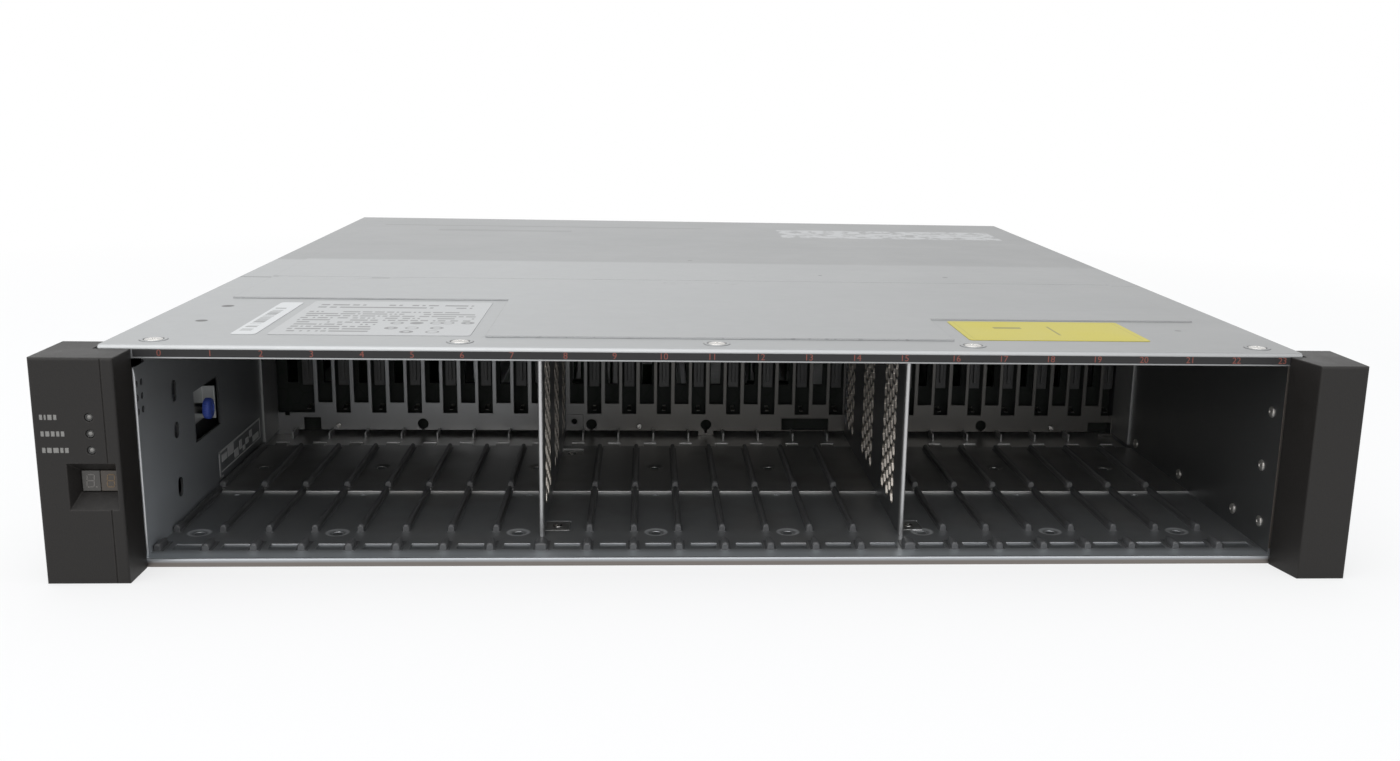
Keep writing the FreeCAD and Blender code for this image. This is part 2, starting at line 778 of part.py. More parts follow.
def make_divider_feet():
    feet = [
        box("divider_foot", divider_x(i) + " + divider_sheet", "front_y + " + y, "base_sheet", "foot_width",
            "foot_length", "floor_sheet")
        for i in DIVIDER_LINES
        for y in FOOT_PLACES
    ]
    return node("divider_feet", group("divider_foot_group", feet))


GUIDE_HOLES = [line_x(BAYS // 6 + BAYS // 3 * i) for i in range(3)] + [line_x(DIVIDER_LINES[0]) + " + 12.6"]
GUIDE_SCREWS = [line_x(2) + " - 6.7", line_x(10) + " + 1.3", line_x(22) + " + 2"]
# The cut-outs along the foot of the guide plate: left side, bottom, width and height.
GUIDE_NOTCHES = [
    (line_x(0) + " + 2.7", "tall_window_bottom - 1.6", 2.3, 2),
    (line_x(1) + " - 6.1", "guide_bottom - 1", 8.6, 7.5),
    (line_x(14) + " + 3.7", "guide_bottom + 0.6", 24.6, 6.2),
    (line_x(BAYS - 1) + " + 3.8", "guide_bottom - 1", 12.4, 6.3),
]


def make_guide_cuts(face):
    """Every opening of the guide plate, whose front lies at face."""
    start = face + " - 1"
    through = "guide_sheet + 2"
    cuts = []
    for i in range(BAYS):
        for offset, bottom in (("tall_window_offset", "tall_window_bottom"),
                               ("short_window_offset", "short_window_bottom")):
            cuts.append(box("window", line_x(i) + " + %s - window_width / 2" % offset, start, bottom,
                            "window_width", through, "window_top - " + bottom))
    cuts.append(box("first_window", line_x(0) + " - window_width / 2 + edge_window_reach", start,
                    "tall_window_bottom", "tall_window_offset + window_width - edge_window_reach", through,
                    "window_top - tall_window_bottom"))
    cuts.append(box("last_window", "inner_half - window_width / 2", start, "tall_window_bottom",
                    "window_width", through, "window_top - tall_window_bottom"))
    for x in GUIDE_HOLES:
        cuts.append(rod("guide_hole", "y", x, start, "guide_hole_level", "guide_hole_radius", through))
        cuts.append(box("guide_slit", x + " - guide_slit_width / 2", start, "guide_bottom - 1",
                        "guide_slit_width", through, "guide_hole_level - guide_bottom"))
    for x, bottom, width, height in GUIDE_NOTCHES:
        cuts.append(box("guide_notch", x, start, bottom, width, through, height))
    for x in GUIDE_SCREWS:
        cuts.append(rod("guide_screw_hole", "y", x, start, "guide_hole_level - 1",
                        "screw_radius + pin_clearance", through))
    cuts.append(rod("boss_hole", "y", line_x(DIVIDER_LINES[0]) + " + 3.8", start,
                    "boss_plate_bottom + boss_plate_height / 2", "boss_hole_radius", through))
    return cuts


# The connector guide plate: a tall and a short window for each bay, locating holes, screw holes and
# notches along its foot. Fins on its front steer the disk carriers onto their connectors, and a
# flange at each side stiffens it.
def make_guide_plate():
    face = "front_y + guide_plate_face"
    plate = box("guide_flat", "left_face", face, "guide_bottom", "bay_width", "guide_sheet",
                "upper_plate_under - guide_bottom")
    feet = [
        box("guide_foot", x, face, "base_sheet", "guide_foot_width", "guide_sheet", "guide_bottom")
        for x in ("left_face", "inner_half - guide_foot_width",
                  line_x(BAYS // 2) + " - guide_foot_width / 2")
    ]
    boss = box("boss_plate", line_x(DIVIDER_LINES[0]) + " - 1", face + " - boss_plate_sheet",
               "boss_plate_bottom", "boss_plate_width", "boss_plate_sheet", "boss_plate_height")
    blank = fuse("guide_blank", [plate, boss] + feet)
    node("connector_guide_plate", cut("guide_sheet_cut", blank, make_guide_cuts(face)))

    tabs = [
        box("guide_flange", x, face + " - guide_flange_depth", "guide_bottom", "guide_sheet",
            "guide_flange_depth", "upper_plate_under - guide_bottom")
        for x in ("left_face", "inner_half - guide_sheet")
    ]
    tabs += [
        box("guide_fin", bay_middle(i) + " - fin_sheet", face + " - fin_length", "base_sheet", "fin_sheet", "fin_length",
            "fin_top - base_sheet")
        for i in range(BAYS - 1)
    ]
    node("guide_plate_tabs", group("guide_tab_group", tabs))


# Where each rear slot starts and how wide it is.
SLOTS = {
    "psu_left": ("-inner_half", "psu_slot_width"),
    "io_left": ("-inner_half + psu_slot_width + inner_sheet", "io_slot_width"),
    "io_right": ("inner_sheet / 2", "io_slot_width"),
    "psu_right": ("inner_half - psu_slot_width", "psu_slot_width"),
}


# The midplane board stands behind the guide plate; the drive connectors are on its front and the
# module connectors on its back. Air passes through it beside each drive connector.
def make_midplane():
    face = "front_y + midplane_face"
    board = box("midplane_blank", "running_gap - inner_half", face, "module_bottom",
                "2 * inner_half - 2 * running_gap", "midplane_sheet", "module_height")
    vents = [
        box("midplane_vent", line_x(i) + " + short_window_offset - window_width / 2 + 1", face + " - 1",
            "drive_connector_bottom", "window_width - 2", "midplane_sheet + 2", "drive_connector_height")
        for i in range(BAYS)
    ]
    node("midplane_board", cut("midplane_cut", board, vents))
    drives = []
    for i in range(BAYS):
        shell = box("drive_connector_shell", line_x(i) + " + tall_window_offset - drive_connector_width / 2",
                    face + " - drive_connector_depth", "drive_connector_bottom",
                    "drive_connector_width", "drive_connector_depth", "drive_connector_height")
        mouth = box("drive_connector_mouth", line_x(i) + " + tall_window_offset - drive_connector_width * 0.2",
                    face + " - drive_connector_depth - 1", "drive_connector_bottom + 3",
                    "drive_connector_width * 0.4", "drive_connector_depth - 1", "drive_connector_height - 6")
        drives.append(cut("drive_connector", shell, [mouth]))
    node("drive_connectors", group("drive_connector_group", drives))
    backs = [
        box("module_connector", x + " + (%s - module_connector_width) / 2" % width,
            face + " + midplane_sheet", "board_bottom - 2", "module_connector_width",
            "module_front - midplane_face - midplane_sheet - running_gap", "module_connector_height")
        for x, width in SLOTS.values()
    ]
    node("module_connectors", group("module_connector_group", backs))


def make_bay_walls():
    walls = [
        box("bay_wall", SLOTS[slot][0] + " - inner_sheet", "front_y + midplane_face + midplane_sheet + 1",
            "base_sheet", "inner_sheet", "chassis_depth - midplane_face - midplane_sheet - 1",
            "cover_under - base_sheet")
        for slot in ("io_left", "io_right", "psu_right")
    ]
    node("module_bay_walls", group("bay_wall_group", walls))


def mirrored(side, text):
    return "%d * (%s)" % (side, text)


# A rack bracket: a flange with two rack holes, folded from a leg riveted to the chassis wall.
def make_bracket(label, side, standoff_levels):
    body = new_body(label + "_angle")
    outer = "rack_width / 2 - cap_wall - running_gap"
    inner = "half_width"
    plan = [(inner, "flange_y"), (outer, "flange_y"), (outer, "flange_y + bracket_sheet"),
            (inner + " + bracket_sheet", "flange_y + bracket_sheet"),
            (inner + " + bracket_sheet", "flange_y + bracket_leg"), (inner, "flange_y + bracket_leg")]
    bottom = "cap_wall + running_gap"
    profile = polygon(sketch(body, "XY_Plane", bottom), [(mirrored(side, x), y) for x, y in plan])
    pad(body, profile, "cap_top - 2 * (%s)" % bottom)
    holes = [
        rod("rack_hole", "y", mirrored(side, "rack_hole_span / 2"), "flange_y - 1",
            "cap_top / 2 + %g * rack_hole_pitch" % part, "rack_hole_radius", "bracket_sheet + 2")
        for part in (-0.5, 0.5)
    ]
    posts = [
        rod("panel_post", "y", "cap_left + light_inset - panel_post_offset",
            "panel_board_y + panel_board_sheet", level, "panel_post_radius",
            "flange_y - panel_board_y - panel_board_sheet")
        for level in standoff_levels
    ]
    blank = fuse(label + "_blank", [body] + posts) if posts else body
    return node(label, cut(label + "_sheet", blank, holes))


def edges_where(shape, test):
    return ["Edge%d" % number for number, edge in enumerate(shape.Edges, start=1) if test(edge)]


def make_cap_shell(label, side, width, flare):
    """A hollow end cap, open behind, with rounded outer edges on its front.

    Its inner flank leans inward by the flare on its way back to the chassis.
    """
    body = new_body(label + "_shell")
    outer = "rack_width / 2"
    near = "rack_width / 2 - " + width
    skirt = "half_width + bracket_sheet + running_gap"
    front = "front_y - cap_reach"
    step = "front_y - 2 * running_gap"
    flank = near + " - " + flare
    plan = [(outer, front), (near, front), (flank, step), (skirt, step),
            (skirt, "front_y + cap_skirt"), (outer, "front_y + cap_skirt")]
    solid = pad(body, polygon(sketch(body, "XY_Plane", 0), [(mirrored(side, x), y) for x, y in plan]),
                "cap_top")
    front_line = layout.front_y - sizes.cap_reach
    rounded = body.newObject("PartDesign::Fillet", label + "_round")
    rounded.Base = (solid, edges_where(
        solid.Shape, lambda edge: all(abs(v.Y - front_line) < 1e-4 for v in edge.Vertexes)))
    bind(rounded, Radius="cap_round")
    doc.recompute()
    inside = [(outer + " - cap_wall", front + " + cap_wall"), (near + " + cap_wall", front + " + cap_wall"),
              (flank + " + cap_wall", step + " + 0.1"), (skirt + " - 0.1", step + " + 0.1"),
              (skirt + " - 0.1", "front_y + cap_skirt + 1"),
              (outer + " - cap_wall", "front_y + cap_skirt + 1")]
    hollow = polygon(sketch(body, "XY_Plane", "cap_wall"), [(mirrored(side, x), y) for x, y in inside])
    pocket(body, hollow, "cap_top - 2 * cap_wall", reverse=True)
    return body


# The left end cap shows three lights through its front and the display in a sloped pocket. A shallow
# groove divides its front from the strip along its inner edge.
def make_left_cap():
    shell = make_cap_shell("left_end_cap", -1, "left_cap_width", "0")
    front = "front_y - cap_reach"
    left = "cap_left + pocket_inset"
    surround = box("pocket_surround", left + " - cap_wall", front + " + cap_wall - 0.2",
                   "pocket_bottom - cap_wall", "left_cap_width - pocket_inset + cap_wall - 0.4",
                   "display_depth - 0.2", "pocket_height + 2 * cap_wall")
    slope = doc.addObject("Part::Wedge", "pocket_slope")
    bind(slope, Xmin=0, Xmax="pocket_width", Zmin=0, Zmax="pocket_height", Ymin=0, Ymax="display_depth",
         X2min="display_inset - pocket_inset - running_gap",
         X2max="display_inset - pocket_inset + display_width + running_gap",
         Z2min="display_bottom - pocket_bottom - running_gap",
         Z2max="display_bottom - pocket_bottom + display_height + running_gap")
    place(slope, left, front, "pocket_bottom")
    window = box("display_window", "cap_left + display_inset - running_gap", "display_y - 1",
                 "display_bottom - running_gap", "display_width + 2 * running_gap", 6,
                 "display_height + 2 * running_gap")
    groove = box("cap_groove", "cap_left + left_cap_width - groove_inset", front + " - 1", -1,
                 "groove_width", "groove_depth + 1", "cap_top + 2")
    lights = [
        rod("light_hole", "y", "cap_left + light_inset", front + " - 1", "light_level + %d * light_pitch" % i,
            "light_radius + 0.2", "cap_wall + 2")
        for i in range(3)
    ]
    filled = fuse("left_cap_filled", [shell, surround])
    return node("left_end_cap", cut("left_cap_cut", filled, [slope, window, groove] + lights))


def make_right_cap():
    return node("right_end_cap", make_cap_shell("right_end_cap", 1, "right_cap_width",
                                                 "right_cap_flare"))


# The operator panel behind the left end cap: a narrow board with three lights, the shelf number
# display and the push button that sets the number.
def make_operator_panel():
    middle = "cap_left + light_inset"
    board = box("panel_board_flat", "cap_left + display_inset - running_gap", "panel_board_y",
                "panel_board_bottom", "left_cap_width - display_inset - cap_wall", "panel_board_sheet",
                "panel_board_height")
    half = "button_radius + button_wall"
    housing = box("button_housing", middle + " - (%s)" % half, "panel_board_y - button_housing_depth",
                  "button_level - (%s)" % half, "2 * (%s)" % half, "button_housing_depth",
                  "2 * (%s)" % half)
    bore = rod("button_bore", "y", middle, "panel_board_y - button_housing_depth - 1", "button_level",
               "button_radius + pin_clearance", "button_housing_depth + 1")
    node("operator_panel_board", cut("panel_board_cut", fuse("panel_board_blank", [board, housing]), [bore]))
    node("shelf_id_button", rod("button_stem", "y", middle,
                                "panel_board_y - button_housing_depth - button_reach", "button_level",
                                "button_radius",
                                "button_housing_depth + button_reach - button_travel - running_gap"))
    lights = [
        rod("status_light", "y", middle, "front_y - cap_reach + running_gap",
            "light_level + %d * light_pitch" % i, "light_radius",
            "cap_reach - running_gap - panel_board_setback")
        for i in range(3)
    ]
    node("status_lights", group("status_light_group", lights))
    node("shelf_display", box("display_block", "cap_left + display_inset", "display_y", "display_bottom",
                              "display_width", "cap_reach - display_depth - panel_board_setback",
                              "display_height"))
    start = "panel_board_y + panel_board_sheet"
    node("panel_cable", rod("cable_run", "y", "left_face - inner_sheet - 2 * cable_radius", start,
                            "cable_level", "cable_radius", "front_y + midplane_face - (%s)" % start))


# The thumb knob is a captive screw across the left channel. Its bracket lies on the chassis wall and
# closes the channel behind the knob.
def make_knob():
    y = "front_y + knob_y"
    back = "front_y + knob_window_start + knob_window_length - 2 * inner_sheet - running_gap"
    base = box("knob_bracket_base", "-inner_half", back + " - knob_bracket_width + inner_sheet",
               "knob_bracket_bottom", "inner_sheet", "knob_bracket_width", "knob_bracket_height")
    ear = box("knob_bracket_ear", "-inner_half", back, "knob_bracket_bottom",
              "inner_half + left_face - inner_sheet - running_gap", "inner_sheet", "knob_bracket_height")
    bore = rod("knob_bore", "x", "-inner_half - 1", y, "knob_level", "shaft_radius + pin_clearance",
               "inner_sheet + 2")
    node("knob_bracket", cut("knob_bracket_cut", fuse("knob_bracket_blank", [base, ear]), [bore]))
    head_x = "left_face + knob_reach - knob_length"
    shaft = rod("shaft_rod", "x", "running_gap - inner_half", y, "knob_level", "shaft_radius",
                "inner_half + %s - running_gap + knob_length - knob_crown" % head_x)
    collar = rod("shaft_collar", "x", "inner_sheet + running_gap - inner_half", y, "knob_level",
                 "collar_radius", "inner_half + %s - inner_sheet - running_gap" % head_x)
    node("knob_shaft", fuse("knob_shaft_blank", [shaft, collar]))
    body = new_body("knob_turned")
    bind(body, Placement__Base__x=head_x, Placement__Base__y=y, Placement__Base__z="knob_level")
    profile = polygon(sketch(body, "XZ_Plane", 0), [
        (0, "shaft_radius"), (0, "knob_radius * 0.9"), ("knob_length * 0.15", "knob_radius"),
        ("knob_length * 0.8", "knob_radius"), ("knob_length", "knob_radius * 0.85"), ("knob_length", 0),
        ("knob_length - knob_crown", 0), ("knob_length - knob_crown", "shaft_radius")])
    turned = body.newObject("PartDesign::Revolution", "knob_turning")
    turned.Profile = profile
    turned.ReferenceAxis = (origin_part(body, "X_Axis"), [""])
    turned.Angle = 360
    doc.recompute()
    node("knob_head", body)


# Stickers lie in the lowered areas of the front cover, and the strip of bay numbers on its lip.
def sticker(name, x, width, length):
    return box(name, x, "front_y + label_start", "cover_level", width, length, "sticker_sheet")


def make_stickers():
    left = "-half_width + panel_inset"
    node("cover_labels", group("cover_label_group", [
        sticker("rating_label", left + " + rating_label_inset", "rating_label_width", "rating_label_length"),
        sticker("bar_label", left + " + bar_label_inset", "bar_label_width", "bar_label_length"),
    ]))
    node("yellow_label", sticker("yellow_label_sheet", "right_zone_start + yellow_label_inset",
                                 "yellow_label_width", "yellow_label_length"))
    node("number_strip", box("strip_sheet_box", "left_face + strip_margin", "front_y - strip_sheet",
                             "cover_level - lip_drop + strip_rise", "bay_width - strip_margin - strip_rise",
                             "strip_sheet", "strip_height"))


# The rivets in the right chassis wall and in the guide plate's right flange: depth and level.
WALL_RIVETS = [(17.3, 57.5), (21.1, 34.3), (18.1, 11.6), (43.1, 9), (102.6, 6.8), (159.6, 6.2)]
FLANGE_RIVETS = [(174.3, 22.1), (181, 41.3)]


def make_fasteners():
    screws = []
    for x in SCREW_COLUMNS:
        head = rod("cover_screw_head", "z", x, "front_y + screw_row", "cover_level",
                   "screw_head_radius", "screw_head_height")
        shank = rod("cover_screw_shank", "z", x, "front_y + screw_row", "upper_plate_under",
                    "screw_radius", "cover_level - upper_plate_under")
        screws.append(fuse("cover_screw", [head, shank]))
    node("cover_screws", group("cover_screw_group", screws))
    rivets = [
        rod("wall_rivet", "x", face + " - wall_rivet_height", "front_y + %g" % y, z,
            "wall_rivet_radius", "wall_rivet_height")
        for face, spots in (("inner_half", WALL_RIVETS), ("inner_half - guide_sheet", FLANGE_RIVETS))
        for y, z in spots
    ]
    node("wall_rivets", group("wall_rivet_group", rivets))
    face = "front_y + guide_plate_face"
    small = []
    for x in GUIDE_SCREWS:
        head = rod("plate_screw_head", "y", x, face + " - screw_head_height", "guide_hole_level - 1",
                   "small_head_radius", "screw_head_height")
        shank = rod("plate_screw_shank", "y", x, face, "guide_hole_level - 1", "screw_radius",
                    "small_screw_reach")
        small.append(fuse("plate_screw", [head, shank]))
    for i in DIVIDER_LINES:
        for y in FOOT_PLACES:
            small.append(rod("foot_screw", "z", divider_x(i) + " + divider_sheet + foot_width / 2",
                             "front_y + %s + foot_length / 2" % y, "floor_top", "small_head_radius",
                             "screw_head_height"))
    node("plate_screws", group("plate_screw_group", small))


def slot_left(slot):
    return SLOTS[slot][0] + " + running_gap"


def slot_width(slot):
    return "%s - 2 * running_gap" % SLOTS[slot][1]


def standoffs(slot, depth):
    """Four posts under a module's circuit board, which is as deep as given."""
    left = slot_left(slot) + " + board_margin + standoff_inset"
    right = "%s + %s - board_margin - standoff_inset" % (slot_left(slot), slot_width(slot))
    front = "front_y + module_front + standoff_setback"
    return [
        rod("standoff", "z", x, y, "module_bottom + module_sheet - 0.1", "standoff_radius",
            "board_stand_off + 0.1")
        for x in (left, right)
        for y in (front, front + " + (%s) - 2 * standoff_setback" % depth)
    ]


def populated_board(slot, name, depth, parts):
    """A module's circuit board with tall parts: share of its width, share of its depth and size."""
    x = slot_left(slot) + " + board_margin"
    y = "front_y + module_front"
    width = slot_width(slot) + " - 2 * board_margin"
    pieces = [box(name + "_sheet", x, y, "board_bottom", width, depth, "board_sheet")]
    for across, along, dx, dy, dz in parts:
        pieces.append(box(name + "_part", "%s + %.3f * (%s)" % (x, across, width),
                          "%s + %.3f * (%s)" % (y, along, depth), "board_top", dx, dy, dz))
    return pieces


def hinge_ears(x, z, axis, stand):
    """Two ears with a pin between them; the gap between them takes a lever. The pin runs along axis."""
    y = "rear_y + hinge_rise"
    pieces = []
    for offset in ("-running_gap - ear_sheet", stand + " + running_gap"):
        if axis == "x":
            pieces.append(box("hinge_ear", x + " + " + offset, "rear_y - 0.1", z + " - ear_radius",
                              "ear_sheet", "hinge_rise + 0.1", "2 * ear_radius"))
            pieces.append(rod("hinge_ear_end", "x", x + " + " + offset, y, z, "ear_radius", "ear_sheet"))
        else:
            pieces.append(box("hinge_ear", x + " - ear_radius", "rear_y - 0.1", z + " + " + offset,
                              "2 * ear_radius", "hinge_rise + 0.1", "ear_sheet"))
            pieces.append(rod("hinge_ear_end", "z", x, y, z + " + " + offset, "ear_radius", "ear_sheet"))
    start = (x if axis == "x" else z) + " - running_gap - pin_bite"
    length = stand + " + 2 * running_gap + 2 * pin_bite"
    if axis == "x":
        pieces.append(rod("hinge_pin", "x", start, y, z, "pin_radius", length))
    else:
        pieces.append(rod("hinge_pin", "z", x, y, start, "pin_radius", length))
    return pieces


SWITCH_REST = -8
FIN_COUNT = 6
# The tall parts on a power supply's board, as populated_board takes them.
PSU_PARTS = [(0.30, 0.25, 38, 44, 34)]
PSU_PARTS += [(across, 0.5 + 0.067 * n, 2, 12, 40) for across in (0.40, 0.88) for n in range(FIN_COUNT)]
CAPACITOR_SHARES = [0.59, 0.72]
CAPACITOR_RADIUS = 12
CAPACITOR_HEIGHT = 42


def make_fan_guard(fan_x):
    """The ring slots in the rear wall of a power supply, left standing between four spokes."""
    pitch = "(fan_radius - fan_hub_radius) / 3"
    rings = []
    for k in range(3):
        start = "fan_hub_radius + %d * %s" % (k, pitch)
        ring = rod("guard_ring", "y", fan_x, "rear_y - module_sheet - 1", "fan_level",
                   start + " + %s - guard_bar" % pitch, "module_sheet + 2")
        core = rod("guard_core", "y", fan_x, "rear_y - module_sheet - 2", "fan_level", start,
                   "module_sheet + 4")
        rings.append(cut("guard_slot", ring, [core]))
    spokes = [
        box("guard_spoke", fan_x + " - guard_bar", "rear_y - 5", "fan_level - fan_radius",
            "2 * guard_bar", 10, "2 * fan_radius"),
        box("guard_spoke", fan_x + " - fan_radius", "rear_y - 5", "fan_level - guard_bar",
            "2 * fan_radius", 10, "2 * guard_bar"),
    ]
    return cut("guard_slots", group("guard_slot_group", rings), spokes)


# A power supply's case: folded sheet, open in front, with the fan's guard, shroud and axle, the
# opening for the mains inlet and the ears of the locking lever on its rear wall.
def make_psu_housing(slot, board_depth):
    x = slot_left(slot)
    width = slot_width(slot)
    front = "front_y + module_front"
    outer = box("psu_outer", x, front, "module_bottom", width, "module_depth", "module_height")
    inner = box("psu_inner", x + " + module_sheet", front + " - 1", "module_bottom + module_sheet",
                width + " - 2 * module_sheet", "module_depth + 1 - module_sheet",
                "module_height - 2 * module_sheet")
    fan_x = x + " + fan_inset"
    opening = box("inlet_opening", x + " + inlet_inset + bezel_rim - running_gap",
                  "rear_y - module_sheet - 1", "inlet_bottom + bezel_rim - running_gap",
                  "inlet_width - 2 * bezel_rim + 2 * running_gap", "module_sheet + 2",
                  "inlet_height - 2 * bezel_rim + 2 * running_gap")
    case = cut("psu_case", outer, [inner, make_fan_guard(fan_x), opening])
    length = "fan_depth + shroud_gap + module_sheet / 2"
    shroud_y = "rear_y - module_sheet - fan_depth - shroud_gap"
    shroud = cut("fan_shroud",
                 rod("shroud_outer", "y", fan_x, shroud_y, "fan_level", "fan_radius + 2 * shroud_gap", length),
                 [rod("shroud_inner", "y", fan_x, shroud_y + " - 1", "fan_level", "fan_radius + shroud_gap",
                      length + " + 2")])
    axle = rod("fan_axle", "y", fan_x, shroud_y, "fan_level", "fan_axle_radius", length)
    ears = hinge_ears(x + " + lever_inset", "hinge_level", "x", "lever_width")
    node(slot + "_housing", fuse(slot + "_case", [case, shroud, axle] + standoffs(slot, board_depth) + ears))


# The mains inlet with its three contacts, and the well of the rocker switch above the socket.
def make_inlet(slot, middle, pivot_z):
    body = box("inlet_body", middle + " - inlet_width / 2 + bezel_rim", "rear_y - inlet_depth",
               "inlet_bottom + bezel_rim", "inlet_width - 2 * bezel_rim", "inlet_depth + 0.1",
               "inlet_height - 2 * bezel_rim")
    bezel = box("inlet_bezel", middle + " - inlet_width / 2", "rear_y", "inlet_bottom", "inlet_width",
                "bezel_rise", "inlet_height")
    socket_z = "inlet_bottom + socket_rise"
    socket = box("socket_well", middle + " - socket_width / 2", "rear_y - inlet_depth + inlet_back",
                 socket_z, "socket_width", "inlet_depth", "socket_height")
    well = box("switch_well", middle + " - rocker_width / 2 - running_gap", "rear_y - rocker_well",
               pivot_z + " - rocker_half - 0.8", "rocker_width + 2 * running_gap", "2 * rocker_well",
               "2 * rocker_half + 1.6")
    block = cut("inlet_block", fuse("inlet_blank", [body, bezel]), [socket, well])
    contacts = [
        box("inlet_contact", middle + " + %g * socket_width - contact_width / 2" % across,
            "rear_y - inlet_depth + inlet_back - 0.1", socket_z + " + %g * socket_height" % up,
            "contact_width", "contact_length", "contact_height")
        for across, up in ((-0.3, 0.24), (0.3, 0.24), (0, 0.54))
    ]
    pivot = rod("switch_pivot", "x", middle + " - rocker_width / 2 - 1", "rear_y", pivot_z, "pin_radius",
                "rocker_width + 2")
    node(slot + "_inlet", fuse(slot + "_inlet_block", [block, pivot] + contacts))


def make_rocker(slot, middle, pivot_z):
    rocker = new_body(slot + "_rocker")
    rocker.Placement = Placement(Vector(), Rotation(Vector(1, 0, 0), SWITCH_REST))
    bind(rocker, Placement__Base__x=middle, Placement__Base__y="rear_y", Placement__Base__z=pivot_z)
    profile = polygon(sketch(rocker, "YZ_Plane", "-rocker_width / 2"), [
        ("-rocker_depth", "-rocker_half + 3"), (-1, "-rocker_half"), ("rocker_rise", "-rocker_half"),
        ("rocker_rise - rocker_dip", 0), ("rocker_rise", "rocker_half"), (-1, "rocker_half"),
        ("-rocker_depth", "rocker_half - 3")])
    circle(profile, 0, 0, "bore_radius")
    pad(rocker, profile, "rocker_width")
    node(slot + "_switch", rocker)


# The locking lever stands upright behind the rear wall. Its top is bent back into a lip, and a
# spring latch slides in a window below the lip.
def make_psu_lever(slot):
    x = slot_left(slot) + " + lever_inset"
    near = "rear_y + lever_stand_off"
    top = "hinge_level + psu_lever_length"
    grip = new_body(slot + "_grip")
    profile = polygon(sketch(grip, "YZ_Plane", x), [
        (near, "hinge_level"), (near + " + lever_sheet", "hinge_level"),
        (near + " + lever_sheet", top + " - 1.5 * lip_height"),
        ("rear_y + handle_reach", top + " - lip_height"), ("rear_y + handle_reach", top), (near, top)])
    pad(grip, profile, "lever_width")
    barrel = rod("lever_barrel", "x", x, "rear_y + hinge_rise", "hinge_level", "barrel_radius", "lever_width")
    bore = rod("lever_bore", "x", x + " - 1", "rear_y + hinge_rise", "hinge_level", "bore_radius",
               "lever_width + 2")
    stem_z = top + " - lip_height - latch_drop - latch_stem"
    stem_x = x + " + lever_width * 0.3"
    window = box("latch_window", stem_x + " - running_gap", near + " - 1",
                 stem_z + " - running_gap - latch_travel", "lever_width * 0.4 + 2 * running_gap",
                 "lever_sheet + 2", "latch_stem + latch_travel + 2 * running_gap")
    node(slot + "_lever", cut(slot + "_lever_cut", fuse(slot + "_lever_blank", [grip, barrel]),
                              [bore, window]))
    stem = box("latch_stem_block", stem_x, near + " - 0.5", stem_z, "lever_width * 0.4",
               "lever_sheet + 1", "latch_stem")
    faces = [
        box("latch_face", x + " + latch_margin", y, stem_z, "lever_width - 2 * latch_margin", sheet,
            "latch_stem")
        for y, sheet in ((near + " + lever_sheet + 0.1", "latch_sheet"), (near + " - 1.1", "1"))
    ]
    node(slot + "_latch", fuse(slot + "_latch_block", [stem] + faces))


def make_psu(slot):
    board_depth = "module_depth - psu_board_end"
    make_psu_housing(slot, board_depth)
    parts = populated_board(slot, "psu_board", board_depth, PSU_PARTS)
    for share in CAPACITOR_SHARES:
        parts.append(rod("capacitor", "z", slot_left(slot) + " + board_margin + 1.5 * %d" % CAPACITOR_RADIUS,
                         "front_y + module_front + %g * (%s)" % (share, board_depth), "board_top",
                         CAPACITOR_RADIUS, CAPACITOR_HEIGHT))
    node(slot + "_board", fuse(slot + "_circuit", parts))
    middle = slot_left(slot) + " + inlet_inset + inlet_width / 2"
    pivot_z = "inlet_bottom + inlet_height - rocker_inset"
    make_inlet(slot, middle, pivot_z)
    make_rocker(slot, middle, pivot_z)
    make_psu_lever(slot)


def port_places(slot):
    """Left side, width and height of each port of an I/O module."""
    x = slot_left(slot) + " + port_inset"
    ports = [(x + " + %d * sas_port_pitch" % k, "sas_port_width", "sas_port_height") for k in range(2)]
    ports += [(x + " + 2 * sas_port_pitch + port_group_gap + %d * lan_port_pitch" % k, "lan_port_width",
               "lan_port_height") for k in range(2)]
    return ports


FACE_VENT_COUNT = 12
FACE_VENT_ROWS = [(28, 12), (60, 16)]
# The tall parts on an I/O module's board, as populated_board takes them.
IO_PARTS = [(0.26, 0.27, 34, 34, 2.4), (0.78, 0.23, 8, 60, 14)]
IO_PARTS += [(0.27 + 0.041 * n, 0.278, 1.2, 30, 16) for n in range(9)]
IO_PARTS += [(0.2 + 0.27 * n, 0.54, 16, 16, 1.6) for n in range(3)]


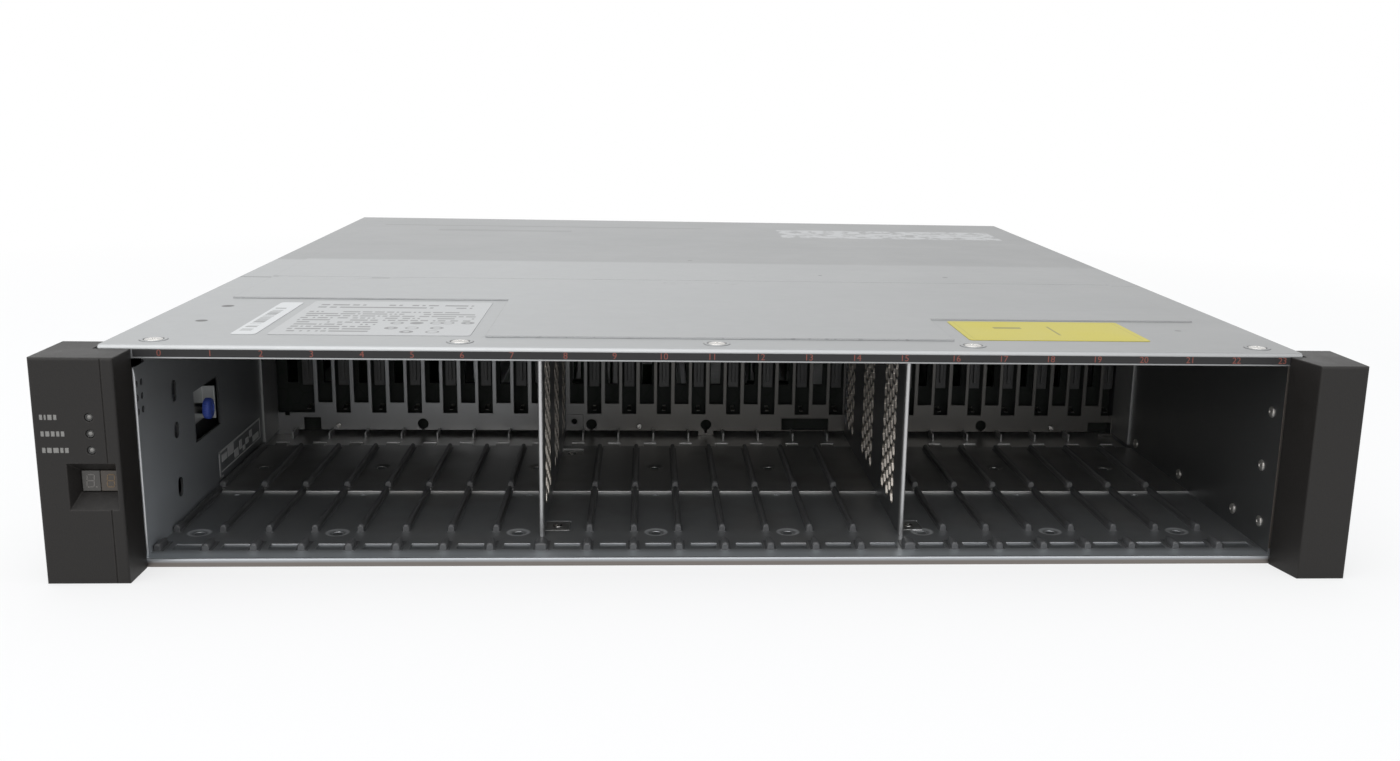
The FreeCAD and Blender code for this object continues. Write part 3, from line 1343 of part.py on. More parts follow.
# An I/O module: an open tray with a faceplate behind, its circuit board on standoffs, the cages of
# the ports on the board, and a lever across the faceplate.
def make_io_housing(slot, board_depth):
    x = slot_left(slot)
    width = slot_width(slot)
    front = "front_y + module_front"
    tray = [box("tray_floor", x, front, "module_bottom", width, "module_depth", "module_sheet")]
    for side in (x, "%s + %s - module_sheet" % (x, width)):
        tray.append(box("tray_wall", side, front, "module_bottom", "module_sheet", "module_depth",
                        "tray_wall_height"))
    faceplate = box("faceplate", x, "rear_y - module_sheet", "module_bottom", width, "module_sheet",
                    "module_height")
    tools = [
        box("port_opening", left + " - running_gap", "rear_y - module_sheet - 1",
            "board_top - running_gap", wide + " + 2 * running_gap", "module_sheet + 2",
            high + " + 2 * running_gap")
        for left, wide, high in port_places(slot)
    ]
    tools += [
        box("face_vent", x + " + face_vent_inset + %d * face_vent_pitch" % k,
            "rear_y - module_sheet - 1", bottom, "face_vent_width", "module_sheet + 2", high)
        for k in range(FACE_VENT_COUNT)
        for bottom, high in FACE_VENT_ROWS
    ]
    ears = hinge_ears(x + " + io_hinge_inset", "io_lever_level - lever_width / 2", "z", "lever_width")
    node(slot + "_housing", fuse(slot + "_case", tray + [cut("faceplate_cut", faceplate, tools)]
                                 + standoffs(slot, board_depth) + ears))


def make_port_cages(slot):
    cages = []
    for left, wide, high in port_places(slot):
        shell = box("port_shell", left, "rear_y - port_depth", "board_top", wide, "port_depth + port_reach",
                    high)
        mouth = box("port_mouth", left + " + port_wall", "rear_y - port_depth + port_back",
                    "board_top + port_wall", wide + " - 2 * port_wall", "port_depth",
                    high + " - 2 * port_wall")
        cages.append(cut("port_cage", shell, [mouth]))
    node(slot + "_ports", group(slot + "_port_group", cages))


def make_io_lever(slot):
    x = slot_left(slot) + " + io_hinge_inset"
    low = "io_lever_level - lever_width / 2"
    near = "rear_y + lever_stand_off"
    tip = x + " + io_lever_length"
    arm = new_body(slot + "_arm")
    profile = polygon(sketch(arm, "XY_Plane", low), [
        (x, near), (tip, near), (tip, "rear_y + handle_reach"),
        (tip + " - lip_height", "rear_y + handle_reach"),
        (tip + " - 1.5 * lip_height", near + " + lever_sheet"), (x, near + " + lever_sheet")])
    pad(arm, profile, "lever_width")
    barrel = rod("arm_barrel", "z", x, "rear_y + hinge_rise", low, "barrel_radius", "lever_width")
    bore = rod("arm_bore", "z", x, "rear_y + hinge_rise", low + " - 1", "bore_radius", "lever_width + 2")
    node(slot + "_lever", cut(slot + "_lever_cut", fuse(slot + "_lever_blank", [arm, barrel]), [bore]))


def make_io_module(slot):
    board_depth = "module_depth - io_board_end"
    make_io_housing(slot, board_depth)
    node(slot + "_board", fuse(slot + "_circuit", populated_board(slot, "io_board", board_depth, IO_PARTS)))
    make_port_cages(slot)
    make_io_lever(slot)


BLADES = 7
BLADE_PITCH = 38


# The fan rotor: a hub that turns on the axle of the guard, with pitched blades.
def make_fan(slot):
    chord = "fan_depth * 1.2"
    root = "fan_hub_radius * 0.85"
    pieces = [rod("fan_hub", "y", 0, "-fan_depth / 2", 0, "fan_hub_radius", "fan_depth")]
    for i in range(BLADES):
        turn = Rotation(Vector(0, 1, 0), 360 * i / BLADES).multiply(Rotation(Vector(1, 0, 0), BLADE_PITCH))
        along, across, up = (turn.multVec(way) for way in (Vector(1, 0, 0), Vector(0, 1, 0), Vector(0, 0, 1)))
        blade = doc.addObject("Part::Box", "fan_blade")
        blade.Placement = Placement(Vector(), turn)
        bind(blade, Length="fan_radius - blade_gap - " + root, Width=chord, Height="blade_sheet")
        corner = [
            "(%.6f) * %s - (%.6f) * %s / 2 - (%.6f) * blade_sheet / 2" % (a, root, b, chord, c)
            for a, b, c in zip(along, across, up)
        ]
        pieces.append(place(blade, *corner))
    bore = rod("fan_bore", "y", 0, "-fan_depth", 0, "fan_axle_radius + pin_clearance", "2 * fan_depth")
    rotor = cut(slot + "_rotor", fuse(slot + "_rotor_blank", pieces), [bore])
    node(slot + "_fan", place(rotor, slot_left(slot) + " + fan_inset",
                              "rear_y - module_sheet - shroud_gap - fan_depth / 2", "fan_level"))


make_base_pan()
make_front_cover()
make_rear_cover()
make_left_inner_wall()
make_front_floor()
make_rear_floor()
make_lead_in_guides()
make_rails()
make_upper_guides()
make_divider("left_divider", DIVIDER_LINES[0])
make_divider("right_divider", DIVIDER_LINES[1])
make_divider_feet()
make_guide_plate()
make_midplane()
make_bay_walls()
make_bracket("left_rack_bracket", -1, [16, 70])
make_bracket("right_rack_bracket", 1, [])
make_left_cap()
make_right_cap()
make_operator_panel()
make_knob()
make_stickers()
make_fasteners()
for slot in ("psu_left", "psu_right"):
    make_psu(slot)
    make_fan(slot)
for slot in ("io_left", "io_right"):
    make_io_module(slot)
doc.recompute()

for feature in doc.Objects:
    if "Invalid" in feature.State or "Error" in feature.State:
        raise RuntimeError("%s failed: %s" % (feature.Name, feature.State))
for label, feature in nodes.items():
    if feature.Shape.isNull() or not feature.Shape.isValid():
        raise RuntimeError(label + " has no valid shape")

os.makedirs("parts", exist_ok=True)
for label, feature in nodes.items():
    feature.Shape.exportStep("parts/%s.step" % label)
    print(label, "%.0f mm3" % feature.Shape.Volume)
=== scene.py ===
import math
import random

import bmesh
import bpy
from mathutils import Matrix, Vector


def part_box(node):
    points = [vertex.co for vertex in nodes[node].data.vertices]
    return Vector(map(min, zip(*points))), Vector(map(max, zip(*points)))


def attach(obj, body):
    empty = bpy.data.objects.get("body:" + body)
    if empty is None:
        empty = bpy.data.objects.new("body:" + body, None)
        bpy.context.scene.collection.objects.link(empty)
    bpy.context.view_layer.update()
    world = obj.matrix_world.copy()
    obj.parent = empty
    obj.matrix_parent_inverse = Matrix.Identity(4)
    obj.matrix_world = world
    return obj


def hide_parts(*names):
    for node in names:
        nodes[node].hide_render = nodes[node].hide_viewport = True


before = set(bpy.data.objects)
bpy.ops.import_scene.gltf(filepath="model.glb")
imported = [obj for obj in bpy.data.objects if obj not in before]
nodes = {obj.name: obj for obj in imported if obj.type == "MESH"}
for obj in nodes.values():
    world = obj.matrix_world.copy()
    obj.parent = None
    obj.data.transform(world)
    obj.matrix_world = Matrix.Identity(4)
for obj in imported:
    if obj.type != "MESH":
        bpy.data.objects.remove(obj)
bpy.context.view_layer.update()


# ---------------------------------------------------------------------------------------------
# Base pan and rack brackets.
# One folded sheet of hot-dip galvanised steel: floor, both side walls and a rolled hem in front.
# The two L-shaped rack brackets are cut from the same coil and riveted to its walls.
# ---------------------------------------------------------------------------------------------

MM = 0.001
CHASSIS = "chassis"
PAN_ZINC = (0.34, 0.355, 0.37)
BRACKET_ZINC = (0.36, 0.375, 0.39)
DUST = (0.45, 0.43, 0.40)
SHEET_DEPTH = 0.4 * MM

# Marks on the pan: the spans that each covers, the width of its soft border, its share and its colour.
# They are painted shade with a warm painted reflection on the hem's lower face, a darker inner face of the
# right wall, painted light on the pan floor in the shade under the guide plate, and painted shade on the
# right wall's front edge.
PAN_MARKS_AND_PAINTED_LIGHT = (
    ([(1, -236, -230), (2, -1, 2.3)], 0.9, 0.85, (0.17, 0.145, 0.125)),
    ([(0, 222.3, 223.5), (1, -233.5, 60), (2, 1.5, 84)], 0.2, 0.8, (0.21, 0.21, 0.21)),
    ([(0, -222, 222.6), (1, -62, -28), (2, -1, 1.5)], 0.5, 0.8, (0.75, 0.74, 0.72)),
    ([(0, 221, 224.1), (1, -236, -225.7), (2, 3.2, 80)], 0.4, 0.85, (0.12, 0.098, 0.080)),
)


def add(tree, kind, values=(), **settings):
    """Adds a shader node; each value is a number, a colour or the output socket to link."""
    node = tree.nodes.new("ShaderNode" + kind)
    for name, setting in settings.items():
        setattr(node, name, setting)
    for socket, value in dict(values).items():
        if isinstance(value, bpy.types.NodeSocket):
            tree.links.new(value, node.inputs[socket])
        else:
            node.inputs[socket].default_value = value
    return node


def maths(tree, operation, first, second=0.0, third=0.0):
    return add(tree, "Math", {0: first, 1: second, 2: third}, operation=operation).outputs[0]


def ramp(tree, value, low, high, out_low=0.0, out_high=1.0):
    """Maps a value from the range low..high to out_low..out_high, clamped."""
    return add(tree, "MapRange", {0: value, 1: low, 2: high, 3: out_low, 4: out_high}).outputs[0]


def mix_colour(tree, factor, first, second, blend="MIX"):
    node = tree.nodes.new("ShaderNodeMix")
    node.data_type = "RGBA"
    node.blend_type = blend
    for socket, value in (("Factor_Float", factor), ("A_Color", first), ("B_Color", second)):
        target = next(item for item in node.inputs if item.identifier == socket)
        if isinstance(value, bpy.types.NodeSocket):
            tree.links.new(value, target)
        else:
            target.default_value = value if socket == "Factor_Float" else (*value[:3], 1.0)
    return next(item for item in node.outputs if item.identifier == "Result_Color")


def new_group(name, inputs, outputs):
    """A shader group with named sockets: inputs are (name, kind, default), outputs (name, kind)."""
    tree = bpy.data.node_groups.new(name, "ShaderNodeTree")
    for socket, kind, default in inputs:
        item = tree.interface.new_socket(socket, in_out="INPUT", socket_type="NodeSocket" + kind)
        item.default_value = default
    for socket, kind in outputs:
        tree.interface.new_socket(socket, in_out="OUTPUT", socket_type="NodeSocket" + kind)
    return tree, tree.nodes.new("NodeGroupInput").outputs, tree.nodes.new("NodeGroupOutput").inputs


def place_group(tree, group, values=()):
    node = tree.nodes.new("ShaderNodeGroup")
    node.node_tree = group
    for socket, value in dict(values).items():
        if isinstance(value, bpy.types.NodeSocket):
            tree.links.new(value, node.inputs[socket])
        else:
            node.inputs[socket].default_value = value
    return node.outputs


def sheet_grain_group():
    """Rolled and galvanised sheet: cloudy tone, faint spangle, rolling lines and short scratches."""
    tree, given, result = new_group(
        "sheet grain",
        [("Cloud", "Float", 0.10), ("Rolling", "Float", 0.05), ("Scratch", "Float", 0.5)],
        [("Tone", "Float"), ("Roughness", "Float"), ("Height", "Float")])
    place = add(tree, "TexCoord").outputs["Object"]
    cloud = add(tree, "TexNoise", {"Vector": place, "Scale": 14.0, "Detail": 5.0, "Roughness": 0.62})
    spangle = add(tree, "TexVoronoi", {"Vector": place, "Scale": 210.0}, feature="F1")
    stretched = add(tree, "Mapping", {"Vector": place, "Scale": (5.0, 900.0, 900.0)}).outputs[0]
    rolled = add(tree, "TexNoise", {"Vector": stretched, "Scale": 1.0, "Detail": 3.0, "Roughness": 0.7})
    turned = add(tree, "Mapping", {"Vector": place, "Rotation": (0.0, 0.0, 0.5),
                                   "Scale": (40.0, 700.0, 90.0)})
    lines = add(tree, "TexNoise", {"Vector": turned.outputs[0], "Scale": 1.0, "Detail": 1.0})
    scratch = ramp(tree, lines.outputs["Fac"], 0.72, 0.76)
    scratch = maths(tree, "MULTIPLY", scratch, given["Scratch"])
    cloud_part = maths(tree, "SUBTRACT", cloud.outputs["Fac"], 0.5)
    tone = maths(tree, "MULTIPLY_ADD", cloud_part, given["Cloud"], 1.0)
    spangle_part = maths(tree, "SUBTRACT", spangle.outputs["Color"], 0.5)
    tone = maths(tree, "MULTIPLY_ADD", spangle_part, 0.035, tone)
    rolled_part = maths(tree, "SUBTRACT", rolled.outputs["Fac"], 0.5)
    tone = maths(tree, "MULTIPLY_ADD", rolled_part, given["Rolling"], tone)
    tone = maths(tree, "MULTIPLY_ADD", scratch, 0.10, tone)
    tree.links.new(tone, result["Tone"])
    rough = maths(tree, "MULTIPLY_ADD", cloud_part, 0.22, 0.0)
    rough = maths(tree, "MULTIPLY_ADD", rolled_part, 0.10, rough)
    tree.links.new(maths(tree, "MULTIPLY_ADD", scratch, -0.06, rough), result["Roughness"])
    height = maths(tree, "MULTIPLY_ADD", scratch, -0.6, rolled.outputs["Fac"])
    height = maths(tree, "MULTIPLY_ADD", cloud.outputs["Fac"], 0.8, height)
    tree.links.new(height, result["Height"])
    return tree


def edge_wear_group():
    """Finds the edges of a solid: a mask of the rubbed edge and the normal of its small round."""
    tree, given, result = new_group(
        "edge wear", [("Radius", "Float", 0.0005), ("Patchiness", "Float", 0.4)],
        [("Mask", "Float"), ("Normal", "Vector")])
    soft = add(tree, "Bevel", {"Radius": given["Radius"]}, samples=4)
    sharp = add(tree, "NewGeometry").outputs["Normal"]
    agree = add(tree, "VectorMath", {0: soft.outputs[0], 1: sharp}, operation="DOT_PRODUCT")
    edge = ramp(tree, agree.outputs["Value"], 0.995, 0.85)
    place = add(tree, "TexCoord").outputs["Object"]
    patches = add(tree, "TexNoise", {"Vector": place, "Scale": 90.0, "Detail": 4.0})
    patches = ramp(tree, patches.outputs["Fac"], 0.35, 0.65)
    kept = maths(tree, "MULTIPLY_ADD", maths(tree, "SUBTRACT", patches, 1.0), given["Patchiness"], 1.0)
    tree.links.new(maths(tree, "MULTIPLY", edge, kept), result["Mask"])
    tree.links.new(soft.outputs[0], result["Normal"])
    return tree


def span_group():
    """1 where a coordinate lies between two values, with a soft border of the given width."""
    tree, given, result = new_group(
        "span", [("Value", "Float", 0.0), ("From", "Float", 0.0), ("To", "Float", 1.0),
                 ("Border", "Float", 0.0002)], [("Mask", "Float")])
    rise = maths(tree, "DIVIDE", maths(tree, "SUBTRACT", given["Value"], given["From"]), given["Border"])
    fall = maths(tree, "DIVIDE", maths(tree, "SUBTRACT", given["To"], given["Value"]), given["Border"])
    inside = maths(tree, "MINIMUM", rise, fall)
    clamped = tree.nodes.new("ShaderNodeClamp")
    tree.links.new(inside, clamped.inputs[0])
    tree.links.new(clamped.outputs[0], result["Mask"])
    return tree


SHEET_GRAIN = sheet_grain_group()
EDGE_WEAR = edge_wear_group()
SPAN = span_group()


def scaled(tree, colour, factor):
    """A colour multiplied by a value that changes over the surface."""
    grey = add(tree, "CombineColor", {0: factor, 1: factor, 2: factor}).outputs[0]
    return mix_colour(tree, 1.0, colour, grey, "MULTIPLY")


def coordinates(tree):
    """The surface point's x, y and z in the frame of the shelf, in metres."""
    return add(tree, "SeparateXYZ", {0: add(tree, "TexCoord").outputs["Object"]}).outputs


def between(tree, value, start, end, border=0.2):
    """Mask of start..end in millimetres along one coordinate."""
    return place_group(tree, SPAN, {"Value": value, "From": start * MM, "To": end * MM,
                                    "Border": border * MM})["Mask"]


def area(tree, spans, border=0.2):
    """Mask of a box; spans are (axis, start, end) in millimetres."""
    point = coordinates(tree)
    mask = None
    for axis, start, end in spans:
        part = between(tree, point[axis], start, end, border)
        mask = part if mask is None else maths(tree, "MULTIPLY", mask, part)
    return mask


def new_material(name, **constants):
    """A material whose shader has these constants on its own sockets."""
    material = bpy.data.materials.new(name)
    material.use_nodes = True
    shader = material.node_tree.nodes["Principled BSDF"]
    for socket, value in constants.items():
        shader.inputs[socket.replace("_", " ")].default_value = value
    return material, material.node_tree, shader


def surface(name, group, settings, colour, roughness, edge, radius, bump, depth, paint, constants):
    """A material from a grain group with worn edges and settled dust.

    A paint may add marks: it takes the tree, the colour and the roughness and returns the last two.
    """
    material, tree, shader = new_material(name, **constants)
    grain = place_group(tree, group, settings)
    wear = place_group(tree, EDGE_WEAR, {"Radius": radius})
    colour = scaled(tree, colour, maths(tree, "MULTIPLY_ADD", wear["Mask"], edge, grain["Tone"]))
    rough = maths(tree, "ADD", grain["Roughness"], roughness)
    if paint:
        colour, rough = paint(tree, colour, rough)
    if "Dust" in settings:
        colour = mix_colour(tree, grain["Dust"], colour, DUST)
    bumped = add(tree, "Bump", {"Strength": bump, "Distance": depth, "Height": grain["Height"],
                                "Normal": wear["Normal"]})
    for socket, value in (("Base Color", colour), ("Roughness", rough), ("Normal", bumped.outputs[0])):
        tree.links.new(value, shader.inputs[socket])
    return material


def sheet_metal(name, colour, roughness, cloud=0.10, rolling=0.05, scratch=0.5, edge=0.35, radius=0.0005,
                metallic=1.0, bump=0.06, paint=None):
    """Bare galvanised sheet or steel."""
    settings = {"Cloud": cloud, "Rolling": rolling, "Scratch": scratch}
    return surface(name, SHEET_GRAIN, settings, colour, roughness, edge, radius, bump, SHEET_DEPTH,
                   paint, {"Metallic": metallic})


def dress(material, *names):
    """Gives CAD nodes their finish."""
    for name in names:
        for slot in nodes[name].material_slots:
            slot.material = material


def stain(tree, colour, mask, share, tint):
    """A colour with some of a tint mixed in where the mask is 1."""
    return mix_colour(tree, maths(tree, "MULTIPLY", mask, share), colour, tint)


def hem_paint(tree, colour, rough):
    """The hem is brightened on top by a painted highlight, and the pan gets the painted light, shade and
    marks listed above.
    """
    hem = area(tree, [(1, -236, -232.6)], 0.5)
    colour = scaled(tree, colour, maths(tree, "MULTIPLY_ADD", hem, 0.12, 0.92))
    for spans, border, share, tint in PAN_MARKS_AND_PAINTED_LIGHT:
        colour = stain(tree, colour, area(tree, spans, border), share, tint)
    return colour, rough


pan_zinc = sheet_metal("pan zinc", PAN_ZINC, 0.38, metallic=0.9, paint=hem_paint)
dress(pan_zinc, "base_pan")
bracket_zinc = sheet_metal("bracket zinc", BRACKET_ZINC, 0.40, metallic=0.9)
dress(bracket_zinc, "left_rack_bracket", "right_rack_bracket")


# ---------------------------------------------------------------------------------------------
# Bay floor.
# Two punched plates of the same sheet, riveted down through dished holes; the rear one lies a
# step higher and locks the front one with its row of tongues.
# ---------------------------------------------------------------------------------------------

FLOOR_ZINC = (0.275, 0.283, 0.29)
# The rear plate is the same sheet in a lighter colour: painted light where less light reaches deep in the
# bay.
REAR_FLOOR_LIGHTENED_ZINC = (0.36, 0.36, 0.355)
GRIME = (0.19, 0.17, 0.15)
MOUTH_LIGHT_ZINC = (0.66, 0.70, 0.73)
RIM_HIGHLIGHT_ZINC = (0.90, 0.92, 0.93)
DIMPLE_COLUMNS = (-204.5, -150.3, -78.1, -22.3, 31.9, 87.7, 141.9, 196.1)
DIMPLE_ROW = -198.65
DIMPLE_RADIUS = 4.2
FLOOR_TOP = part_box("front_floor_plate")[1][2]


def distance(tree, place, point):
    return add(tree, "VectorMath", {0: place, 1: point}, operation="DISTANCE").outputs["Value"]


def handled_paint(tree, colour, rough):
    """Oil and dust dull the sheet in patches; painted light brightens its mouth, and painted highlights
    ring the dimples' rims.
    """
    place = add(tree, "TexCoord").outputs["Object"]
    patches = add(tree, "TexNoise", {"Vector": place, "Scale": 21.0, "Detail": 3.0, "Roughness": 0.55})
    dull = ramp(tree, patches.outputs["Fac"], 0.50, 0.66)
    colour = stain(tree, colour, dull, 0.30, GRIME)
    # painted light: the mouth of the bay is brightened where the light falls in
    colour = stain(tree, colour, area(tree, [(1, -235, -218)], 6.0), 0.9, MOUTH_LIGHT_ZINC)
    # painted highlights: a bright ring round each dimple's rim
    for column in DIMPLE_COLUMNS:
        reach = distance(tree, place, (column * MM, DIMPLE_ROW * MM, FLOOR_TOP))
        inner = ramp(tree, reach, (DIMPLE_RADIUS - 1.6) * MM, (DIMPLE_RADIUS - 0.4) * MM)
        outer = ramp(tree, reach, (DIMPLE_RADIUS + 0.9) * MM, (DIMPLE_RADIUS + 0.1) * MM)
        colour = stain(tree, colour, maths(tree, "MULTIPLY", inner, outer), 0.7, RIM_HIGHLIGHT_ZINC)
    return colour, maths(tree, "MULTIPLY_ADD", dull, 0.10, rough)


floor_zinc = sheet_metal("floor zinc", FLOOR_ZINC, 0.36, cloud=0.22, rolling=0.08, edge=0.8,
                         metallic=0.75, paint=handled_paint)
dress(floor_zinc, "front_floor_plate")
rear_floor_lightened_zinc = sheet_metal("rear floor lightened zinc", REAR_FLOOR_LIGHTENED_ZINC, 0.40, cloud=0.22, rolling=0.08,
                              edge=1.6, metallic=0.92, paint=handled_paint)
dress(rear_floor_lightened_zinc, "rear_floor_plate", "divider_feet")


# ---------------------------------------------------------------------------------------------
# Guides and rails.
# Glass-filled nylon strips snapped into the floor and under the cover: a blunt post at each bay's
# mouth, then a low rail with a taller nose, each standing on a thin black flange.
# ---------------------------------------------------------------------------------------------

GUIDE_PLASTIC = (0.075, 0.076, 0.078)
# The rear rails are the same plastic in a lighter colour: painted light where less light reaches deep in
# the bay.
REAR_GUIDE_LIGHTENED_PLASTIC = (0.12, 0.12, 0.12)
PLASTIC_DEPTH = 0.2 * MM
FLANGE = 0.8 * MM
FLANGE_SHEET = 0.22 * MM
ARCH_STEPS = 6
# Share of a post's length, of its width and of its height.
POST_STATIONS = ((0.0, 0.80, 0.78), (0.05, 0.97, 0.97), (0.55, 1.0, 1.0), (0.80, 0.66, 0.86),
                 (1.0, 0.18, 0.60))
RAIL_NOSE = 5.5 * MM
RAIL_SHARE = 0.80


def plastic_grain_group():
    """Moulded plastic: a fine spark-eroded texture, flow clouds and a little dust."""
    tree, given, result = new_group(
        "plastic grain", [("Size", "Float", 0.0006), ("Cloud", "Float", 0.15), ("Dust", "Float", 0.02)],
        [("Tone", "Float"), ("Roughness", "Float"), ("Height", "Float"), ("Dust", "Float")])
    place = add(tree, "TexCoord").outputs["Object"]
    scale = maths(tree, "DIVIDE", 1.0, given["Size"])
    fine = add(tree, "TexNoise", {"Vector": place, "Scale": scale, "Detail": 3.0, "Roughness": 0.6})
    cloud = add(tree, "TexNoise", {"Vector": place, "Scale": 26.0, "Detail": 4.0})
    cloud_part = maths(tree, "SUBTRACT", cloud.outputs["Fac"], 0.5)
    tone = maths(tree, "MULTIPLY_ADD", cloud_part, given["Cloud"], 1.0)
    fine_part = maths(tree, "SUBTRACT", fine.outputs["Fac"], 0.5)
    tree.links.new(maths(tree, "MULTIPLY_ADD", fine_part, 0.25, tone), result["Tone"])
    tree.links.new(maths(tree, "MULTIPLY_ADD", cloud_part, 0.2, 0.0), result["Roughness"])
    tree.links.new(fine.outputs["Fac"], result["Height"])
    up = add(tree, "SeparateXYZ", {0: add(tree, "NewGeometry").outputs["Normal"]}).outputs[2]
    specks = add(tree, "TexNoise", {"Vector": place, "Scale": 420.0, "Detail": 2.0})
    lying = maths(tree, "MULTIPLY", ramp(tree, up, 0.3, 0.9), ramp(tree, specks.outputs["Fac"], 0.45, 0.75))
    tree.links.new(maths(tree, "MULTIPLY", lying, given["Dust"]), result["Dust"])
    return tree


PLASTIC_GRAIN = plastic_grain_group()


def moulded(name, colour, roughness, edge=0.6, radius=0.0004, size=0.0006, bump=0.25, dust=0.02,
            paint=None, **constants):
    """Moulded plastic with a fine texture, slightly polished edges and dust on what faces up."""
    settings = {"Size": size, "Dust": dust}
    return surface(name, PLASTIC_GRAIN, settings, colour, roughness, edge, radius, bump, PLASTIC_DEPTH,
                   paint, constants)


def loose_parts(node):
    """(lowest corner, highest corner) of every separate solid of a CAD node, from left to right."""
    solid = bmesh.new()
    solid.from_mesh(nodes[node].data)
    solid.transform(nodes[node].matrix_world)
    bmesh.ops.remove_doubles(solid, verts=solid.verts, dist=1e-6)
    waiting = set(solid.verts)
    found = []
    while waiting:
        front = [waiting.pop()]
        part = []
        while front:
            vertex = front.pop()
            part.append(vertex.co.copy())
            for edge in vertex.link_edges:
                other = edge.other_vert(vertex)
                if other in waiting:
                    waiting.remove(other)
                    front.append(other)
        found.append((Vector([min(p[i] for p in part) for i in range(3)]),
                      Vector([max(p[i] for p in part) for i in range(3)])))
    solid.free()
    return sorted(found, key=lambda box: (round(box[0].x, 5), box[0].y, box[0].z))


def finish_piece(solid, name, material, slot, body, *replaced, bevel=0.0):
    """Turns the mesh into a scene piece that rides on its body and stands for CAD nodes."""
    bmesh.ops.recalc_face_normals(solid, faces=solid.faces)
    mesh = bpy.data.meshes.new(name)
    solid.to_mesh(mesh)
    solid.free()
    mesh.materials.append(material)
    mesh.polygons.foreach_set("use_smooth", [True] * len(mesh.polygons))
    mesh.set_sharp_from_angle(angle=math.radians(38))
    piece = bpy.data.objects.new(name, mesh)
    bpy.context.scene.collection.objects.link(piece)
    if bevel:
        rounding = piece.modifiers.new("rounded edges", "BEVEL")
        rounding.width = bevel
        rounding.segments = 2
        rounding.limit_method = "ANGLE"
    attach(piece, body)
    if replaced:
        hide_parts(*replaced)
    return piece


def loft(solid, rings):
    """Skins a run of equal rings of points and closes both ends; a ring of one point is a tip."""
    made = [[solid.verts.new(point) for point in ring] for ring in rings]
    count = max(len(ring) for ring in made)
    for near, far in zip(made, made[1:]):
        for side in range(count):
            corners = [near[side % len(near)], near[(side + 1) % len(near)],
                       far[(side + 1) % len(far)], far[side % len(far)]]
            corners = list(dict.fromkeys(corners))
            if len(corners) > 2:
                solid.faces.new(corners)
    for ring in (made[0], made[-1]):
        if len(ring) > 2:
            solid.faces.new(ring)


def arch(x, y, z, width, height, flange, flange_sheet):
    """Ring of an arched section across a rail, standing on its flange."""
    half = width / 2
    rise = min(height * 0.35, half)
    reach = half + flange
    top = z + flange_sheet
    ring = [(x - reach, y, z), (x - reach, y, top), (x - half, y, top)]
    for step in range(ARCH_STEPS + 1):
        turn = math.pi * (1 - step / ARCH_STEPS)
        ring.append((x + half * math.cos(turn), y, z + height - rise + rise * math.sin(turn)))
    ring += [(x + half, y, top), (x + reach, y, top), (x + reach, y, z)]
    return ring


def make_posts():
    posts = bmesh.new()
    for low, high in loose_parts("lead_in_guides"):
        size = high - low
        middle = (low.x + high.x) / 2
        loft(posts, [arch(middle, low.y + share * size.y, low.z, size.x * wide, size.z * tall,
                          FLANGE + size.x * (1 - wide) / 2, FLANGE_SHEET)
                     for share, wide, tall in POST_STATIONS])
    finish_piece(posts, "lead_in_posts", guide_plastic, "guide_plastic", CHASSIS, "lead_in_guides")


def make_rails(node, name, nose, material):
    """Rails whose front end stands up by the nose's share of the full height."""
    rails = bmesh.new()
    for low, high in loose_parts(node):
        size = high - low
        middle = (low.x + high.x) / 2
        stations = [(0, 0.86, nose * 0.8), (0.5 * MM, 1, nose), (RAIL_NOSE, 1, nose),
                    (RAIL_NOSE + 0.7 * MM, 0.78, RAIL_SHARE), (size.y - 0.6 * MM, 0.78, RAIL_SHARE),
                    (size.y, 0.6, 0.6)]
        loft(rails, [arch(middle, low.y + along, low.z, size.x * wide, size.z * tall,
                          (FLANGE + size.x * (1 - wide)) / 2, FLANGE_SHEET)
                     for along, wide, tall in stations])
    finish_piece(rails, name, material, "guide_plastic", CHASSIS, node)


guide_plastic = moulded("guide plastic", GUIDE_PLASTIC, 0.40, edge=0.9)
make_posts()
make_rails("front_guide_rails", "front_bay_rails", 1.0, guide_plastic)
rear_guide_lightened_plastic = moulded("rear guide lightened plastic", REAR_GUIDE_LIGHTENED_PLASTIC, 0.45, edge=0.4)
make_rails("rear_guide_rails", "rear_bay_rails", 0.84, rear_guide_lightened_plastic)
dress(guide_plastic, "upper_guide_rails")


# ---------------------------------------------------------------------------------------------
# Dividers.
# Two upright zinc sheets between the bay groups, punched with honeycomb windows so that cooling
# air crosses over; the front edge is folded double and brightened by a painted reflection.
# ---------------------------------------------------------------------------------------------

DIVIDER_ZINC = (0.23, 0.235, 0.24)
DIVIDER_EDGE_REFLECTION = (0.50, 0.50, 0.50)
WINDOW_EDGE_TAN = (0.55, 0.51, 0.46)


def divider_paint(tree, colour, rough):
    """A painted reflection brightens the folded front edge; the punched edges of the windows are painted a
    pale tan.
    """
    edge = area(tree, [(1, -206, -201.8)], 0.3)
    bright = mix_colour(tree, edge, colour, DIVIDER_EDGE_REFLECTION)
    facing = add(tree, "SeparateXYZ", {0: add(tree, "NewGeometry").outputs["Normal"]}).outputs[0]
    cut = maths(tree, "LESS_THAN", maths(tree, "ABSOLUTE", facing), 0.5)
    inside = maths(tree, "MULTIPLY", cut, area(tree, [(1, -200, -45)], 0.5))
    tan_edges = mix_colour(tree, inside, bright, WINDOW_EDGE_TAN)
    return tan_edges, maths(tree, "MULTIPLY_ADD", edge, -0.04, rough)


